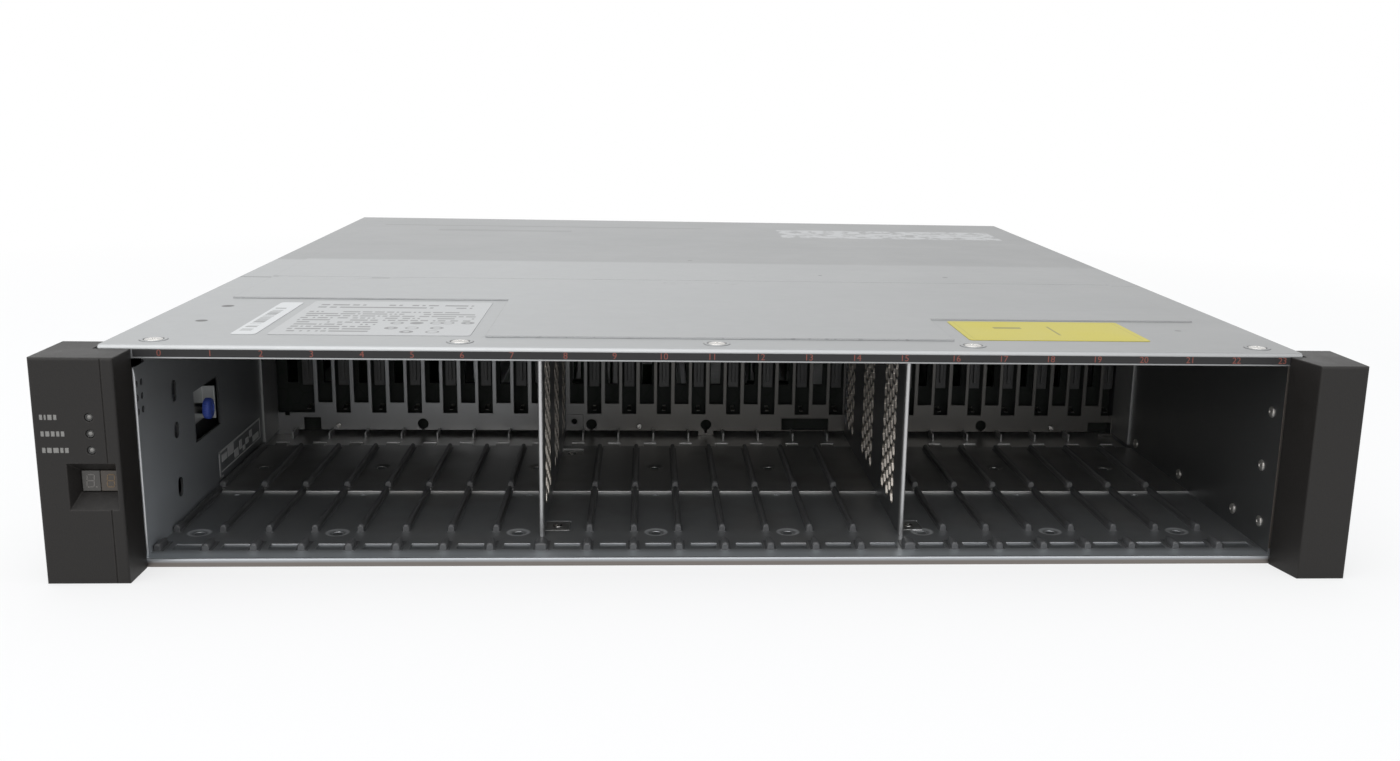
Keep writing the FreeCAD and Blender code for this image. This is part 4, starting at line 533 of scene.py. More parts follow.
divider_zinc = sheet_metal("divider zinc", DIVIDER_ZINC, 0.36, metallic=0.92, paint=divider_paint)
dress(divider_zinc, "left_divider", "right_divider")


# ---------------------------------------------------------------------------------------------
# Midplane and its connectors.
# A dark green board across the whole shelf; black drive connectors stand on its front, each with
# a small steel earth spring at the foot, and the module connectors on its back.
# ---------------------------------------------------------------------------------------------

BOARD_GREEN = (0.022, 0.0245, 0.022)
CONNECTOR_BLACK = (0.060, 0.060, 0.059)
CONNECTOR_ROUND = 0.5 * MM
TONGUE_DEPTH = 1.5 * MM
TONGUE_WIDTH = 0.9 * MM
TONGUE_INSET = 3.0 * MM
SPRING_WIDTH = 1.8 * MM
SPRING_LEVEL = 13.2 * MM
SPRING_REACH = 5.4 * MM
SPRING_SHEET = 0.25 * MM


def lacquer_paint(scale, share, tint):
    """The paint of a circuit board: copper tracks show as faint lighter lines under the lacquer."""
    def paint(tree, colour, rough):
        place = add(tree, "TexCoord").outputs["Object"]
        cells = add(tree, "TexVoronoi", {"Vector": place, "Scale": scale}, feature="DISTANCE_TO_EDGE")
        tracks = ramp(tree, cells.outputs["Distance"], 0.06, 0.02)
        return stain(tree, colour, tracks, share, tint), rough
    return paint


def rounded_slab(solid, low, high, radius, axis=2, steps=4):
    """A plate with rounded corners, extruded along one axis between its low and high corner."""
    first, second = [side for side in range(3) if side != axis]
    outline = []
    for corner, (right, top) in enumerate(((1, 1), (0, 1), (0, 0), (1, 0))):
        across = high[first] - radius if right else low[first] + radius
        along = high[second] - radius if top else low[second] + radius
        for step in range(steps + 1):
            turn = math.pi / 2 * (corner + step / steps)
            outline.append((across + radius * math.cos(turn), along + radius * math.sin(turn)))
    rings = []
    for level in (low[axis], high[axis]):
        ring = []
        for across, along in outline:
            point = [0.0, 0.0, 0.0]
            point[first], point[second], point[axis] = across, along, level
            ring.append(point)
        rings.append(ring)
    loft(solid, rings)


def make_drive_connectors():
    blocks = bmesh.new()
    springs = bmesh.new()
    for low, high in loose_parts("drive_connectors"):
        middle = (low.x + high.x) / 2
        shoulder = low.y + TONGUE_DEPTH
        rounded_slab(blocks, (low.x, shoulder, low.z), high, CONNECTOR_ROUND, axis=1)
        rounded_slab(blocks, (middle - TONGUE_WIDTH, low.y, low.z + TONGUE_INSET),
                     (middle + TONGUE_WIDTH, shoulder, high.z - TONGUE_INSET), TONGUE_WIDTH / 2, axis=1)
        foot = high.y - SPRING_SHEET
        half = SPRING_WIDTH / 2
        bend = [(foot, SPRING_LEVEL + 1.6 * MM), (foot - SPRING_SHEET, SPRING_LEVEL + 1.0 * MM),
                (foot - SPRING_REACH * 0.6, SPRING_LEVEL + 0.7 * MM), (foot - SPRING_REACH, SPRING_LEVEL)]
        loft(springs, [[(middle - half, y, z), (middle + half, y, z),
                        (middle + half, y + SPRING_SHEET, z + SPRING_SHEET),
                        (middle - half, y + SPRING_SHEET, z + SPRING_SHEET)] for y, z in bend])
    finish_piece(blocks, "drive_connector_row", connector_black, "connector_black", CHASSIS,
                 "drive_connectors", bevel=0.2 * MM)
    finish_piece(springs, "earth_springs", spring_steel, "screw_steel", CHASSIS)


board_green = moulded("board green", BOARD_GREEN, 0.65, bump=0.1, Specular_IOR_Level=0.2,
                      paint=lacquer_paint(120.0, 0.4, (0.012, 0.018, 0.012)))
dress(board_green, "midplane_board", "operator_panel_board")
connector_black = moulded("connector black", CONNECTOR_BLACK, 0.45)
dress(connector_black, "module_connectors")
spring_steel = sheet_metal("spring steel", (0.26, 0.255, 0.24), 0.34, edge=0.2)
make_drive_connectors()


# ---------------------------------------------------------------------------------------------
# Connector guide plate.
# A punched and folded sheet in front of the midplane: a window for every connector, flanges along
# the walls and a comb of fins on the floor; small cross-head screws hold it.
# ---------------------------------------------------------------------------------------------

GUIDE_ZINC = (0.27, 0.275, 0.28)
GUIDE_LOW_TONE = (0.16, 0.15, 0.14)
GUIDE_BROWN = (0.095, 0.09, 0.082)
TAB_ZINC = (0.40, 0.40, 0.395)
SCREW_STEEL = (0.58, 0.57, 0.55)
# Share of a screw head's radius and of its height.
HEAD_OUTLINE = ((0.97, 0.0), (1.0, 0.15), (0.93, 0.55), (0.75, 0.88), (0.55, 1.0))
DRIVE_REACH = 0.46
DRIVE_DEPTH = 0.45


def lathe(solid, centre, axis, profile, sides=24, wave=None):
    """A turned solid: the profile's (radius, height) pairs swept around an axis through the centre."""
    first, second = (axis + 1) % 3, (axis + 2) % 3
    rings = []
    for radius, height in profile:
        ring = []
        for side in range(sides if radius else 1):
            turn = 2 * math.pi * side / sides
            reach = radius * (wave(side) if wave else 1)
            point = list(centre)
            point[first] += reach * math.cos(turn)
            point[second] += reach * math.sin(turn)
            point[axis] += height
            ring.append(point)
        rings.append(ring)
    loft(solid, rings)


def driven_screw(solid, centre, axis, facing, radius, height, points=4):
    """A domed head with a sunk drive of so many points; facing is +1 or -1 along the axis."""
    first, second = (axis + 1) % 3, (axis + 2) % 3
    sides = 4 * points

    def ring(reach, level):
        made = []
        for side in range(sides):
            turn = 2 * math.pi * side / sides
            point = list(centre)
            point[first] += radius * reach(side) * math.cos(turn)
            point[second] += radius * reach(side) * math.sin(turn)
            point[axis] += facing * height * level
            made.append(point)
        return made

    def star(side):
        return DRIVE_REACH if side % 4 in (0, 1) else DRIVE_REACH / 2

    rings = [ring(lambda side, wide=wide: wide, tall) for wide, tall in HEAD_OUTLINE]
    rings.append(ring(star, 1.0))
    rings.append(ring(lambda side: star(side) * 0.8, 1.0 - DRIVE_DEPTH))
    loft(solid, rings)


def make_plate_screws():
    screws = bmesh.new()
    for low, high in loose_parts("plate_screws"):
        size = high - low
        centre = (low + high) / 2
        axis = min(range(3), key=lambda side: size[side])
        facing = 1 if axis == 2 else -1
        start = list(centre)
        start[axis] = low[axis] if facing > 0 else high[axis]
        radius = max(size) / 2
        driven_screw(screws, start, axis, facing, radius, size[axis])
    finish_piece(screws, "guide_screws", screw_steel, "screw_steel", CHASSIS, "plate_screws")


def guide_plate_paint(tree, colour, rough):
    """The plate is darker towards the floor; all but its left part is darker and browner."""
    point = coordinates(tree)
    low = ramp(tree, point[2], 0.020, 0.003)
    darker_low = stain(tree, colour, low, 0.35, GUIDE_LOW_TONE)
    warm = ramp(tree, point[0], -0.10, -0.03)
    return stain(tree, darker_low, warm, 0.85, GUIDE_BROWN), rough


guide_zinc = sheet_metal("guide plate zinc", GUIDE_ZINC, 0.40, cloud=0.2, metallic=0.85,
                         paint=guide_plate_paint)
dress(guide_zinc, "connector_guide_plate")
tab_zinc = sheet_metal("guide tab zinc", TAB_ZINC, 0.45, edge=0.2, metallic=0.7)
dress(tab_zinc, "guide_plate_tabs")
screw_steel = sheet_metal("screw steel", SCREW_STEEL, 0.24, cloud=0.15, scratch=0.8)
make_plate_screws()


# ---------------------------------------------------------------------------------------------
# Module bay walls and the power supplies.
# Each supply is a folded steel box that slides in from behind: a fan behind a wire guard, a mains
# inlet with its rocker switch, a lever to pull it by and an orange catch that locks the lever.
# ---------------------------------------------------------------------------------------------

BAY_WALL_ZINC = (0.33, 0.34, 0.35)
POWER_BOARD = (0.030, 0.075, 0.035)
ROTOR_BLACK = (0.024, 0.024, 0.026)
INLET_BLACK = (0.022, 0.022, 0.023)
MODULE_STEEL = (0.42, 0.43, 0.44)
FAN_BLADES = 7
BLADE_STEPS = 6
BLADE_PITCH = math.radians(38)
BLADE_SWEEP = math.radians(34)
BLADE_SHEET = 0.9 * MM
HUB_RADIUS = 9.2 * MM


def blade(solid, centre, start, radius, depth):
    """One swept and twisted blade from the hub to its tip."""
    back, front = [], []
    for step in range(BLADE_STEPS + 1):
        share = step / BLADE_STEPS
        reach = HUB_RADIUS * 0.95 + (radius - HUB_RADIUS * 0.95) * share
        chord = (0.62 + 0.20 * share) * 2 * math.pi * HUB_RADIUS / FAN_BLADES * (1 + 0.9 * share)
        pitch = BLADE_PITCH * (1 - 0.30 * share)
        middle = start + BLADE_SWEEP * share * share
        for side, line in ((-0.5, back), (0.5, front)):
            turn = middle + side * chord * math.cos(pitch) / reach
            height = max(-depth / 2, min(depth / 2, side * chord * math.sin(pitch)))
            line.append((turn, reach, height))
    rings = []
    for (turn_a, reach, height_a), (turn_b, _, height_b) in zip(back, front):
        ring = []
        for turn, height, thick in ((turn_a, height_a, 0), (turn_b, height_b, 0),
                                    (turn_b, height_b, BLADE_SHEET), (turn_a, height_a, BLADE_SHEET)):
            ring.append((centre[0] + reach * math.cos(turn), centre[1] + height + thick - BLADE_SHEET / 2,
                         centre[2] + reach * math.sin(turn)))
        rings.append(ring)
    loft(solid, rings)


def make_fan(side):
    low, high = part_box(f"psu_{side}_fan")
    centre = [(low[i] + high[i]) / 2 for i in range(3)]
    radius = (high[0] - low[0]) / 2
    depth = high[1] - low[1] - 0.6 * MM
    rotor = bmesh.new()
    half = depth / 2
    lathe(rotor, centre, 1, [(0, -half), (HUB_RADIUS * 0.9, -half), (HUB_RADIUS, -half * 0.85),
                             (HUB_RADIUS, half * 0.80), (HUB_RADIUS * 0.93, half * 0.96),
                             (HUB_RADIUS * 0.78, half), (HUB_RADIUS * 0.76, half * 0.93),
                             (0, half * 0.93)], 40)
    for count in range(FAN_BLADES):
        blade(rotor, centre, 2 * math.pi * count / FAN_BLADES, radius, depth)
    finish_piece(rotor, f"psu_{side}_fan_rotor", rotor_black, "rotor_black", f"psu_{side}_rotor",
                 f"psu_{side}_fan")


module_wall_zinc = sheet_metal("module wall zinc", BAY_WALL_ZINC, 0.38, metallic=0.9)
dress(module_wall_zinc, "module_bay_walls")
module_steel = sheet_metal("module steel", MODULE_STEEL, 0.34, cloud=0.12, edge=0.3)
dress(module_steel, "psu_left_housing", "psu_right_housing", "io_left_housing", "io_right_housing")
power_board = moulded("power board", POWER_BOARD, 0.40, bump=0.15, dust=0.08,
                      paint=lacquer_paint(160.0, 0.5, (0.03, 0.06, 0.03)))
dress(power_board, "psu_left_board", "psu_right_board", "io_left_board", "io_right_board")
rotor_black = moulded("rotor black", ROTOR_BLACK, 0.36, edge=0.5, dust=0.10)
inlet_black = moulded("inlet black", INLET_BLACK, 0.34, edge=0.7)
dress(inlet_black, "psu_left_inlet", "psu_right_inlet")
for supply in ("left", "right"):
    make_fan(supply)


# ---------------------------------------------------------------------------------------------
# Mains switch, lever and catch of each supply.
# The rocker is plain black thermoplastic; the lever is grey glass-filled nylon on a steel pin, and
# the sliding catch is orange.
# ---------------------------------------------------------------------------------------------

switch_black = moulded("switch black", (0.020, 0.020, 0.021), 0.28, edge=0.5)
dress(switch_black, "psu_left_switch", "psu_right_switch")
lever_grey = moulded("lever grey", (0.075, 0.077, 0.08), 0.42, edge=0.6)
dress(lever_grey, "psu_left_lever", "psu_right_lever", "io_left_lever", "io_right_lever")
latch_orange = moulded("latch orange", (0.62, 0.17, 0.03), 0.40, edge=0.15)
dress(latch_orange, "psu_left_latch", "psu_right_latch")


# ---------------------------------------------------------------------------------------------
# Input and output modules.
# Steel trays with a board; the port cages are drawn nickel-plated boxes soldered to it.
# ---------------------------------------------------------------------------------------------

port_steel = sheet_metal("port steel", (0.60, 0.585, 0.55), 0.22, cloud=0.12, scratch=0.8)
dress(port_steel, "io_left_ports", "io_right_ports")


# ---------------------------------------------------------------------------------------------
# Left inner wall, its thumb knob and the sticker at its foot.
# The wall closes the cable channel; the blue knurled knob turns on a steel collar carried by a
# light bracket behind the window.
# ---------------------------------------------------------------------------------------------

WALL_ZINC = (0.27, 0.285, 0.30)
# The wall's tones: painted light low and high at its mouth, painted shade deep inside, a lighter strip at
# its tail and painted shade on its cut edges.
WALL_LIT_LOW = (0.50, 0.525, 0.55)
WALL_LIT_HIGH = (0.29, 0.295, 0.30)
WALL_SHADED_DEEP = (0.15, 0.152, 0.155)
WALL_TAIL = (0.36, 0.365, 0.37)
WALL_CUT_SHADE = (0.05, 0.05, 0.05)
EAR_ZINC = (0.62, 0.63, 0.62)
LIP_REFLECTION_ZINC = (0.62, 0.63, 0.64)
KNOB_BLUE = (0.060, 0.105, 0.46)
STICKER_GREY = (0.60, 0.60, 0.59)
KNOB_TEETH = 30
KNURL_DEPTH = 0.945
# Where the sticker starts and ends along the wall and in height, in mm.
STICKER_PLACE = (-135.0, -70.2, 7.0, 17.0)
STICKER_SHEET = 0.12 * MM
LIP_START = -226.5 * MM
LIP_WIDTH = 1.5 * MM
LIP_REACH = 0.8 * MM


def wall_paint(tree, colour, rough):
    """Painted light makes the wall brightest low near its mouth and painted shade darkens it towards the
    back; a lighter strip crosses its tail and painted shade darkens its cut edges.
    """
    point = coordinates(tree)
    depth = ramp(tree, point[1], -0.215, -0.09)
    high = ramp(tree, point[2], 0.020, 0.060)
    near = mix_colour(tree, high, WALL_LIT_LOW, WALL_LIT_HIGH)
    tone = mix_colour(tree, 0.8, colour, mix_colour(tree, depth, near, WALL_SHADED_DEEP))
    tone = stain(tree, tone, between(tree, point[1], -62, -45, 1.5), 0.7, WALL_TAIL)
    # painted shade: the cut edges of the wall's slots are darkened
    facing = add(tree, "SeparateXYZ", {0: add(tree, "NewGeometry").outputs["Normal"]}).outputs[0]
    aside = maths(tree, "LESS_THAN", facing, 0.5)
    cut = maths(tree, "MULTIPLY", aside, between(tree, point[1], -224, -63))
    return stain(tree, tone, cut, 0.9, WALL_CUT_SHADE), rough


def make_wall_lip():
    """The wall's mouth is folded over to a bead with a rounded upper end, made bright by a painted
    reflection.
    """
    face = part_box("left_inner_wall")[1][0]
    lip = bmesh.new()
    rings = []
    for z, wide in ((1.5, 1.0), (60.0, 1.0), (71.0, 1.0), (73.2, 0.75), (74.3, 0.35), (74.7, 0.05)):
        rings.append([(face + LIP_REACH * wide * out, LIP_START + LIP_WIDTH * along, z * MM)
                      for along, out in ((0.0, 0.0), (0.15, 0.7), (0.45, 1.0), (0.8, 0.75), (1.0, 0.0))])
    loft(lip, rings)
    finish_piece(lip, "wall_lip", lip_reflection_zinc, "zinc_steel", CHASSIS)


def knurl(side):
    return 1.0 if side % 2 else KNURL_DEPTH


def make_knob():
    low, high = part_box("knob_head")
    centre = [low[0], (low[1] + high[1]) / 2, (low[2] + high[2]) / 2]
    radius = (high[1] - low[1]) / 2
    depth = high[0] - low[0]
    head = bmesh.new()
    sides = 2 * KNOB_TEETH
    lathe(head, centre, 0, [(0, 0.0), (radius * 0.90, 0.0), (radius * 0.96, depth * 0.08)], sides)
    lathe(head, centre, 0, [(0, depth * 0.07), (radius * 0.98, depth * 0.08), (radius, depth * 0.16),
                            (radius, depth * 0.70), (radius * 0.92, depth * 0.86),
                            (radius * 0.70, depth * 0.97), (radius * 0.40, depth * 0.99),
                            (radius * 0.36, depth * 0.90), (0, depth * 0.88)], sides, knurl)
    finish_piece(head, "thumb_knob_head", knob_blue, "knob_blue", "thumb_knob", "knob_head")


def make_wall_sticker():
    """A pale outlined sticker with a folded end and rows of plain marks."""
    rear, front = STICKER_PLACE[1] * MM, STICKER_PLACE[0] * MM
    low, high = STICKER_PLACE[2] * MM, STICKER_PLACE[3] * MM
    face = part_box("left_inner_wall")[1][0]
    outer = face + STICKER_SHEET
    sticker = bmesh.new()

    def bar(y0, y1, z0, z1):
        rounded_slab(sticker, (face, y0, z0), (outer, y1, z1), 0.12 * MM, axis=0)

    rim = 0.9 * MM
    bar(front, rear, high - rim, high)
    bar(front + 3 * MM, rear, low, low + rim * 0.7)
    bar(rear - rim, rear, low, high)
    bar(front, front + 1.6 * MM, low - 2.4 * MM, high)
    bar(front, front + 5 * MM, low - 2.4 * MM, low - 1.4 * MM)
    chance = random.Random(5)
    y = front + 4 * MM
    while y < rear - 5 * MM:
        length = chance.uniform(3.0, 10.0) * MM
        row = chance.choice((0.12, 0.30, 0.45))
        level = low + (high - low) * row
        bar(y, min(y + length, rear - 2 * MM), level, level + chance.uniform(2.4, 4.6) * MM)
        y += length + chance.uniform(0.8, 1.8) * MM
    finish_piece(sticker, "wall_sticker", sticker_grey, "paper_white", CHASSIS)


wall_zinc = sheet_metal("wall zinc", WALL_ZINC, 0.42, metallic=0.5, edge=0.0, radius=0.0003,
                        paint=wall_paint)
dress(wall_zinc, "left_inner_wall")
ear_zinc = sheet_metal("ear zinc", EAR_ZINC, 0.45, metallic=0.5)
dress(ear_zinc, "knob_bracket")
knob_blue = moulded("knob blue", KNOB_BLUE, 0.36, edge=0.5, bump=0.1)
dress(screw_steel, "knob_shaft")
sticker_grey = moulded("sticker grey", STICKER_GREY, 0.5, edge=0.1)
lip_reflection_zinc = sheet_metal("lip reflection zinc", LIP_REFLECTION_ZINC, 0.34, metallic=0.8)
make_knob()
make_wall_lip()
make_wall_sticker()


# ---------------------------------------------------------------------------------------------
# Upper guide plate, operator board and its cable.
# The plate hangs under the cover and carries the upper rails; the board's cable runs down the
# left channel to the midplane.
# ---------------------------------------------------------------------------------------------

UPPER_ZINC = (0.12, 0.12, 0.12)
LIP_HIGHLIGHT_ZINC = (0.14, 0.135, 0.13)


def upper_paint(tree, colour, rough):
    """A painted highlight brightens its folded front lip."""
    return stain(tree, colour, area(tree, [(1, -236, -230.6)], 0.3), 0.5, LIP_HIGHLIGHT_ZINC), rough


upper_zinc = sheet_metal("upper plate zinc", UPPER_ZINC, 0.42, metallic=0.9, paint=upper_paint)
dress(upper_zinc, "upper_guide_plate")
cable_black = moulded("cable black", (0.020, 0.020, 0.021), 0.5)
dress(cable_black, "panel_cable")


# ---------------------------------------------------------------------------------------------
# Covers.
# Two sheets of satin zinc meet at a seam across the top; each has a pressed, slightly raised
# middle. Years of handling left scuffs along the panel's edge and torn remains of an old label.
# ---------------------------------------------------------------------------------------------

COVER_ZINC = (0.41, 0.42, 0.425)
DARKER_COVER_ZINC = (0.24, 0.243, 0.245)
OLD_GLUE = (0.62, 0.63, 0.64)
SCUFF_BLACK = (0.09, 0.09, 0.09)
LINE_BLACK = (0.10, 0.10, 0.10)
COVER_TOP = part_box("front_cover")[1][2]
COVER_SKIN = (2, 83, 86)

# Dark spots on the covers: centre and radius, in mm.
PITS = ((-203.8, -146.1, 2.9), (-203.4, -182.4, 2.7), (193.6, -186.4, 1.7), (-2.6, 19.8, 1.5),
        (128.0, -37.2, 1.6), (63.0, -35.0, 1.2))

# Dark lines on the covers, each with its spans and its strength: dark lines along the pressed steps, a
# scratch and a rubbed line near the rear edge.
COVER_LINES = (
    ([(0, -208, -88), (1, -125.9, -124.0)], 0.70), ([(0, -88, 93.5), (1, -214.6, -213.0)], 0.60),
    ([(0, 93.5, 208), (1, -166.8, -165.0)], 0.50),
    ([(0, -160.5, -151.5), (1, -62.1, -60.2)], 0.75), ([(0, -167, -142), (1, -63.7, -62.7)], 0.35),
    ([(0, -200, 12), (1, 187, 190.5)], 0.60), ([(0, -161, -75), (1, 156, 166)], 0.30),
    ([(0, -224, -205), (1, -60.0, -57.6)], 0.55),
)


def scuff_group():
    """Scattered rubbed spots: small irregular islands of dirt inside a mask."""
    tree, given, result = new_group(
        "scuffs", [("Scale", "Float", 300.0), ("Amount", "Float", 0.5), ("Within", "Float", 1.0)],
        [("Mask", "Float")])
    place = add(tree, "TexCoord").outputs["Object"]
    coarse = add(tree, "TexNoise", {"Vector": place, "Scale": given["Scale"], "Detail": 5.0,
                                    "Roughness": 0.7})
    limit = maths(tree, "SUBTRACT", 0.80, maths(tree, "MULTIPLY", given["Amount"], 0.35))
    islands = maths(tree, "GREATER_THAN", coarse.outputs["Fac"], limit)
    tree.links.new(maths(tree, "MULTIPLY", islands, given["Within"]), result["Mask"])
    return tree


SCUFFS = scuff_group()


def cover_paint(tree, colour, rough):
    """Scuffs beside the pressed edge, a cover darker towards the right, a painted reflection that greys the
    rear half, and the torn remains of a label.
    """
    point = coordinates(tree)
    place = add(tree, "TexCoord").outputs["Object"]
    along_edge = area(tree, [(1, -215.5, -211.5), COVER_SKIN, (0, -95, 100)], 2.0)
    centre = area(tree, [(1, -74, -62), (0, -40, 30), COVER_SKIN], 5.0)
    specks = place_group(tree, SCUFFS, {"Scale": 380.0, "Amount": 0.62, "Within": along_edge})["Mask"]
    spots = place_group(tree, SCUFFS, {"Scale": 210.0, "Amount": 0.66, "Within": centre})["Mask"]
    dark = maths(tree, "MAXIMUM", specks, spots)
    for x, y, radius in PITS:
        reach = distance(tree, place, (x * MM, y * MM, COVER_TOP))
        dark = maths(tree, "MAXIMUM", dark, ramp(tree, reach, radius * MM, radius * 0.8 * MM))
    colour = stain(tree, colour, dark, 0.9, SCUFF_BLACK)
    for spans, share in COVER_LINES:
        colour = stain(tree, colour, area(tree, [*spans, COVER_SKIN], 0.5), share, LINE_BLACK)
    # the cover is darker towards the right
    colour = stain(tree, colour, ramp(tree, point[0], -0.10, 0.22), 0.60, DARKER_COVER_ZINC)
    # painted reflection: the rear half is greyed with a crisp border, as the sheet's reflection of a darker
    # surround
    colour = stain(tree, colour, ramp(tree, point[1], 0.006, 0.012), 0.48, DARKER_COVER_ZINC)
    torn = area(tree, [(0, 60, 205), (1, 140, 187), COVER_SKIN], 1.0)
    glue = place_group(tree, SCUFFS, {"Scale": 105.0, "Amount": 0.93, "Within": torn})["Mask"]
    return stain(tree, colour, glue, 0.6, OLD_GLUE), maths(tree, "MULTIPLY_ADD", glue, 0.15, rough)


cover_zinc = sheet_metal("cover zinc", COVER_ZINC, 0.42, cloud=0.08, rolling=0.06, scratch=0.35, edge=-0.5,
                         metallic=0.9, paint=cover_paint)
dress(cover_zinc, "front_cover", "rear_cover")


# ---------------------------------------------------------------------------------------------
# Stickers on the front cover.
# A white rating sticker and a narrow one beside it, printed with rows of plain marks, and a bare
# yellow one; all have die-cut round corners.
# ---------------------------------------------------------------------------------------------

CORNER = 1.6 * MM
INK = (0.10, 0.10, 0.10)
BROWN_INK = (0.10, 0.09, 0.02)
PAPER_WHITE = (0.45, 0.455, 0.455)
PAPER_YELLOW = (0.47, 0.405, 0.018)
STRIP_PAPER = (0.60, 0.61, 0.61)
BAR_PITCH = 0.7 * MM


def print_rows_group():
    """Rows of unreadable print: short dark dashes of random length with blank gaps."""
    tree, given, result = new_group(
        "print rows", [("Across", "Float", 0.0), ("Down", "Float", 0.0), ("Pitch", "Float", 0.002),
                       ("Letter", "Float", 0.0006), ("Fill", "Float", 0.7)], [("Mask", "Float")])
    line = maths(tree, "DIVIDE", given["Down"], given["Pitch"])
    row = maths(tree, "FLOOR", line)
    inside = maths(tree, "LESS_THAN", maths(tree, "FRACT", line), 0.46)
    cell = maths(tree, "FLOOR", maths(tree, "DIVIDE", given["Across"], given["Letter"]))
    letter = add(tree, "TexWhiteNoise", {0: add(tree, "CombineXYZ", {0: cell, 1: row}).outputs[0]},
                 noise_dimensions="3D").outputs["Value"]
    word = maths(tree, "FLOOR", maths(tree, "DIVIDE", cell, 7.0))
    kept = add(tree, "TexWhiteNoise", {0: add(tree, "CombineXYZ", {0: word, 1: row}).outputs[0]},
               noise_dimensions="3D").outputs["Value"]
    inked = maths(tree, "MULTIPLY", maths(tree, "LESS_THAN", letter, 0.78),
                  maths(tree, "LESS_THAN", kept, given["Fill"]))
    tree.links.new(maths(tree, "MULTIPLY", inside, inked), result["Mask"])
    return tree


PRINT_ROWS = print_rows_group()

# Plain dark ovals on the rating sticker: centre and radius of the paper left inside each, in mm.
OVALS = ((-126.2, -184.9, 1.7), (-118.5, -184.6, 0.0), (-110.7, -184.2, 1.8), (-106.3, -183.9, 1.9),
         (-98.4, -183.6, 1.0), (-126.6, -196.2, 1.2), (-118.6, -195.7, 2.0), (-109.0, -195.4, 1.6),
         (-119.4, -204.1, 1.2), (-109.5, -203.9, 2.0))
OVAL_RADIUS = 2.7


def rating_paint(tree, colour, rough):
    """A heading, full rows, a left column of rows, plain ovals at the right and a bar strip."""
    point = coordinates(tree)
    text = place_group(tree, PRINT_ROWS, {"Across": point[0], "Down": point[1], "Pitch": 0.0050,
                                          "Letter": 0.0010, "Fill": 0.86})["Mask"]
    body = maths(tree, "MAXIMUM", area(tree, [(0, -167, -97), (1, -181, -156)]),
                 area(tree, [(0, -166, -134), (1, -207, -181)]))
    heading = place_group(tree, PRINT_ROWS, {"Across": point[0], "Down": point[1], "Pitch": 0.0062,
                                             "Letter": 0.0014, "Fill": 0.9})["Mask"]
    top = area(tree, [(0, -166, -101), (1, -151, -139)])
    ink = maths(tree, "MAXIMUM", maths(tree, "MULTIPLY", text, body),
                maths(tree, "MULTIPLY", heading, top))
    spot = add(tree, "CombineXYZ", {0: point[0], 1: point[1], 2: 0.0}).outputs[0]
    for x, y, inside in OVALS:
        reach = distance(tree, spot, (x * MM, y * MM, 0.0))
        ring = maths(tree, "MULTIPLY", maths(tree, "LESS_THAN", reach, OVAL_RADIUS * MM),
                     maths(tree, "GREATER_THAN", reach, inside * MM))
        ink = maths(tree, "MAXIMUM", ink, ring)
    bars_x = maths(tree, "FLOOR", maths(tree, "DIVIDE", point[1], BAR_PITCH))
    bars = add(tree, "TexWhiteNoise", {0: add(tree, "CombineXYZ", {0: bars_x}).outputs[0]},
               noise_dimensions="3D").outputs["Value"]
    stripes = maths(tree, "MULTIPLY", maths(tree, "LESS_THAN", bars, 0.5),
                    area(tree, [(0, -182.6, -178.0), (1, -206, -150)]))
    ink = maths(tree, "MAXIMUM", ink, stripes)
    bar_side = between(tree, point[0], -185, -173)
    paper = mix_colour(tree, bar_side, colour, STRIP_PAPER)
    return stain(tree, paper, ink, 0.72, INK), rough


def yellow_paint(tree, colour, rough):
    """Bare yellow film with a few plain dark bars and a thin border."""
    border = maths(tree, "SUBTRACT", area(tree, [(0, 102, 171), (1, -209.6, -170.7)]),
                   area(tree, [(0, 102.6, 170.4), (1, -209.0, -171.3)]))
    bars = area(tree, [(0, 139.2, 140.4), (1, -200, -180)])
    block = area(tree, [(0, 116, 128), (1, -186, -182)], 0.4)
    ink = maths(tree, "MAXIMUM", maths(tree, "MULTIPLY", border, 0.25),
                maths(tree, "MAXIMUM", bars, block))
    return stain(tree, colour, ink, 0.7, BROWN_INK), rough


def make_stickers(node, name, material, slot):
    stickers = bmesh.new()
    for low, high in loose_parts(node):
        rounded_slab(stickers, low, high, CORNER)
    finish_piece(stickers, name, material, slot, CHASSIS, node)


paper_white = moulded("paper white", PAPER_WHITE, 0.42, edge=0.05, bump=0.05, dust=0.0,
                      paint=rating_paint)
paper_yellow = moulded("paper yellow", PAPER_YELLOW, 0.42, edge=0.05, bump=0.05, dust=0.0,
                       paint=yellow_paint)
make_stickers("cover_labels", "rating_stickers", paper_white, "paper_white")
make_stickers("yellow_label", "yellow_sticker", paper_yellow, "paper_yellow")


# ---------------------------------------------------------------------------------------------
# Cover screws.
# Flat countersunk screws with a six-point drive, each in a small dished ring of the cover.
# ---------------------------------------------------------------------------------------------

RING_RADIUS = 5.2 * MM
RING_RISE = 0.22 * MM


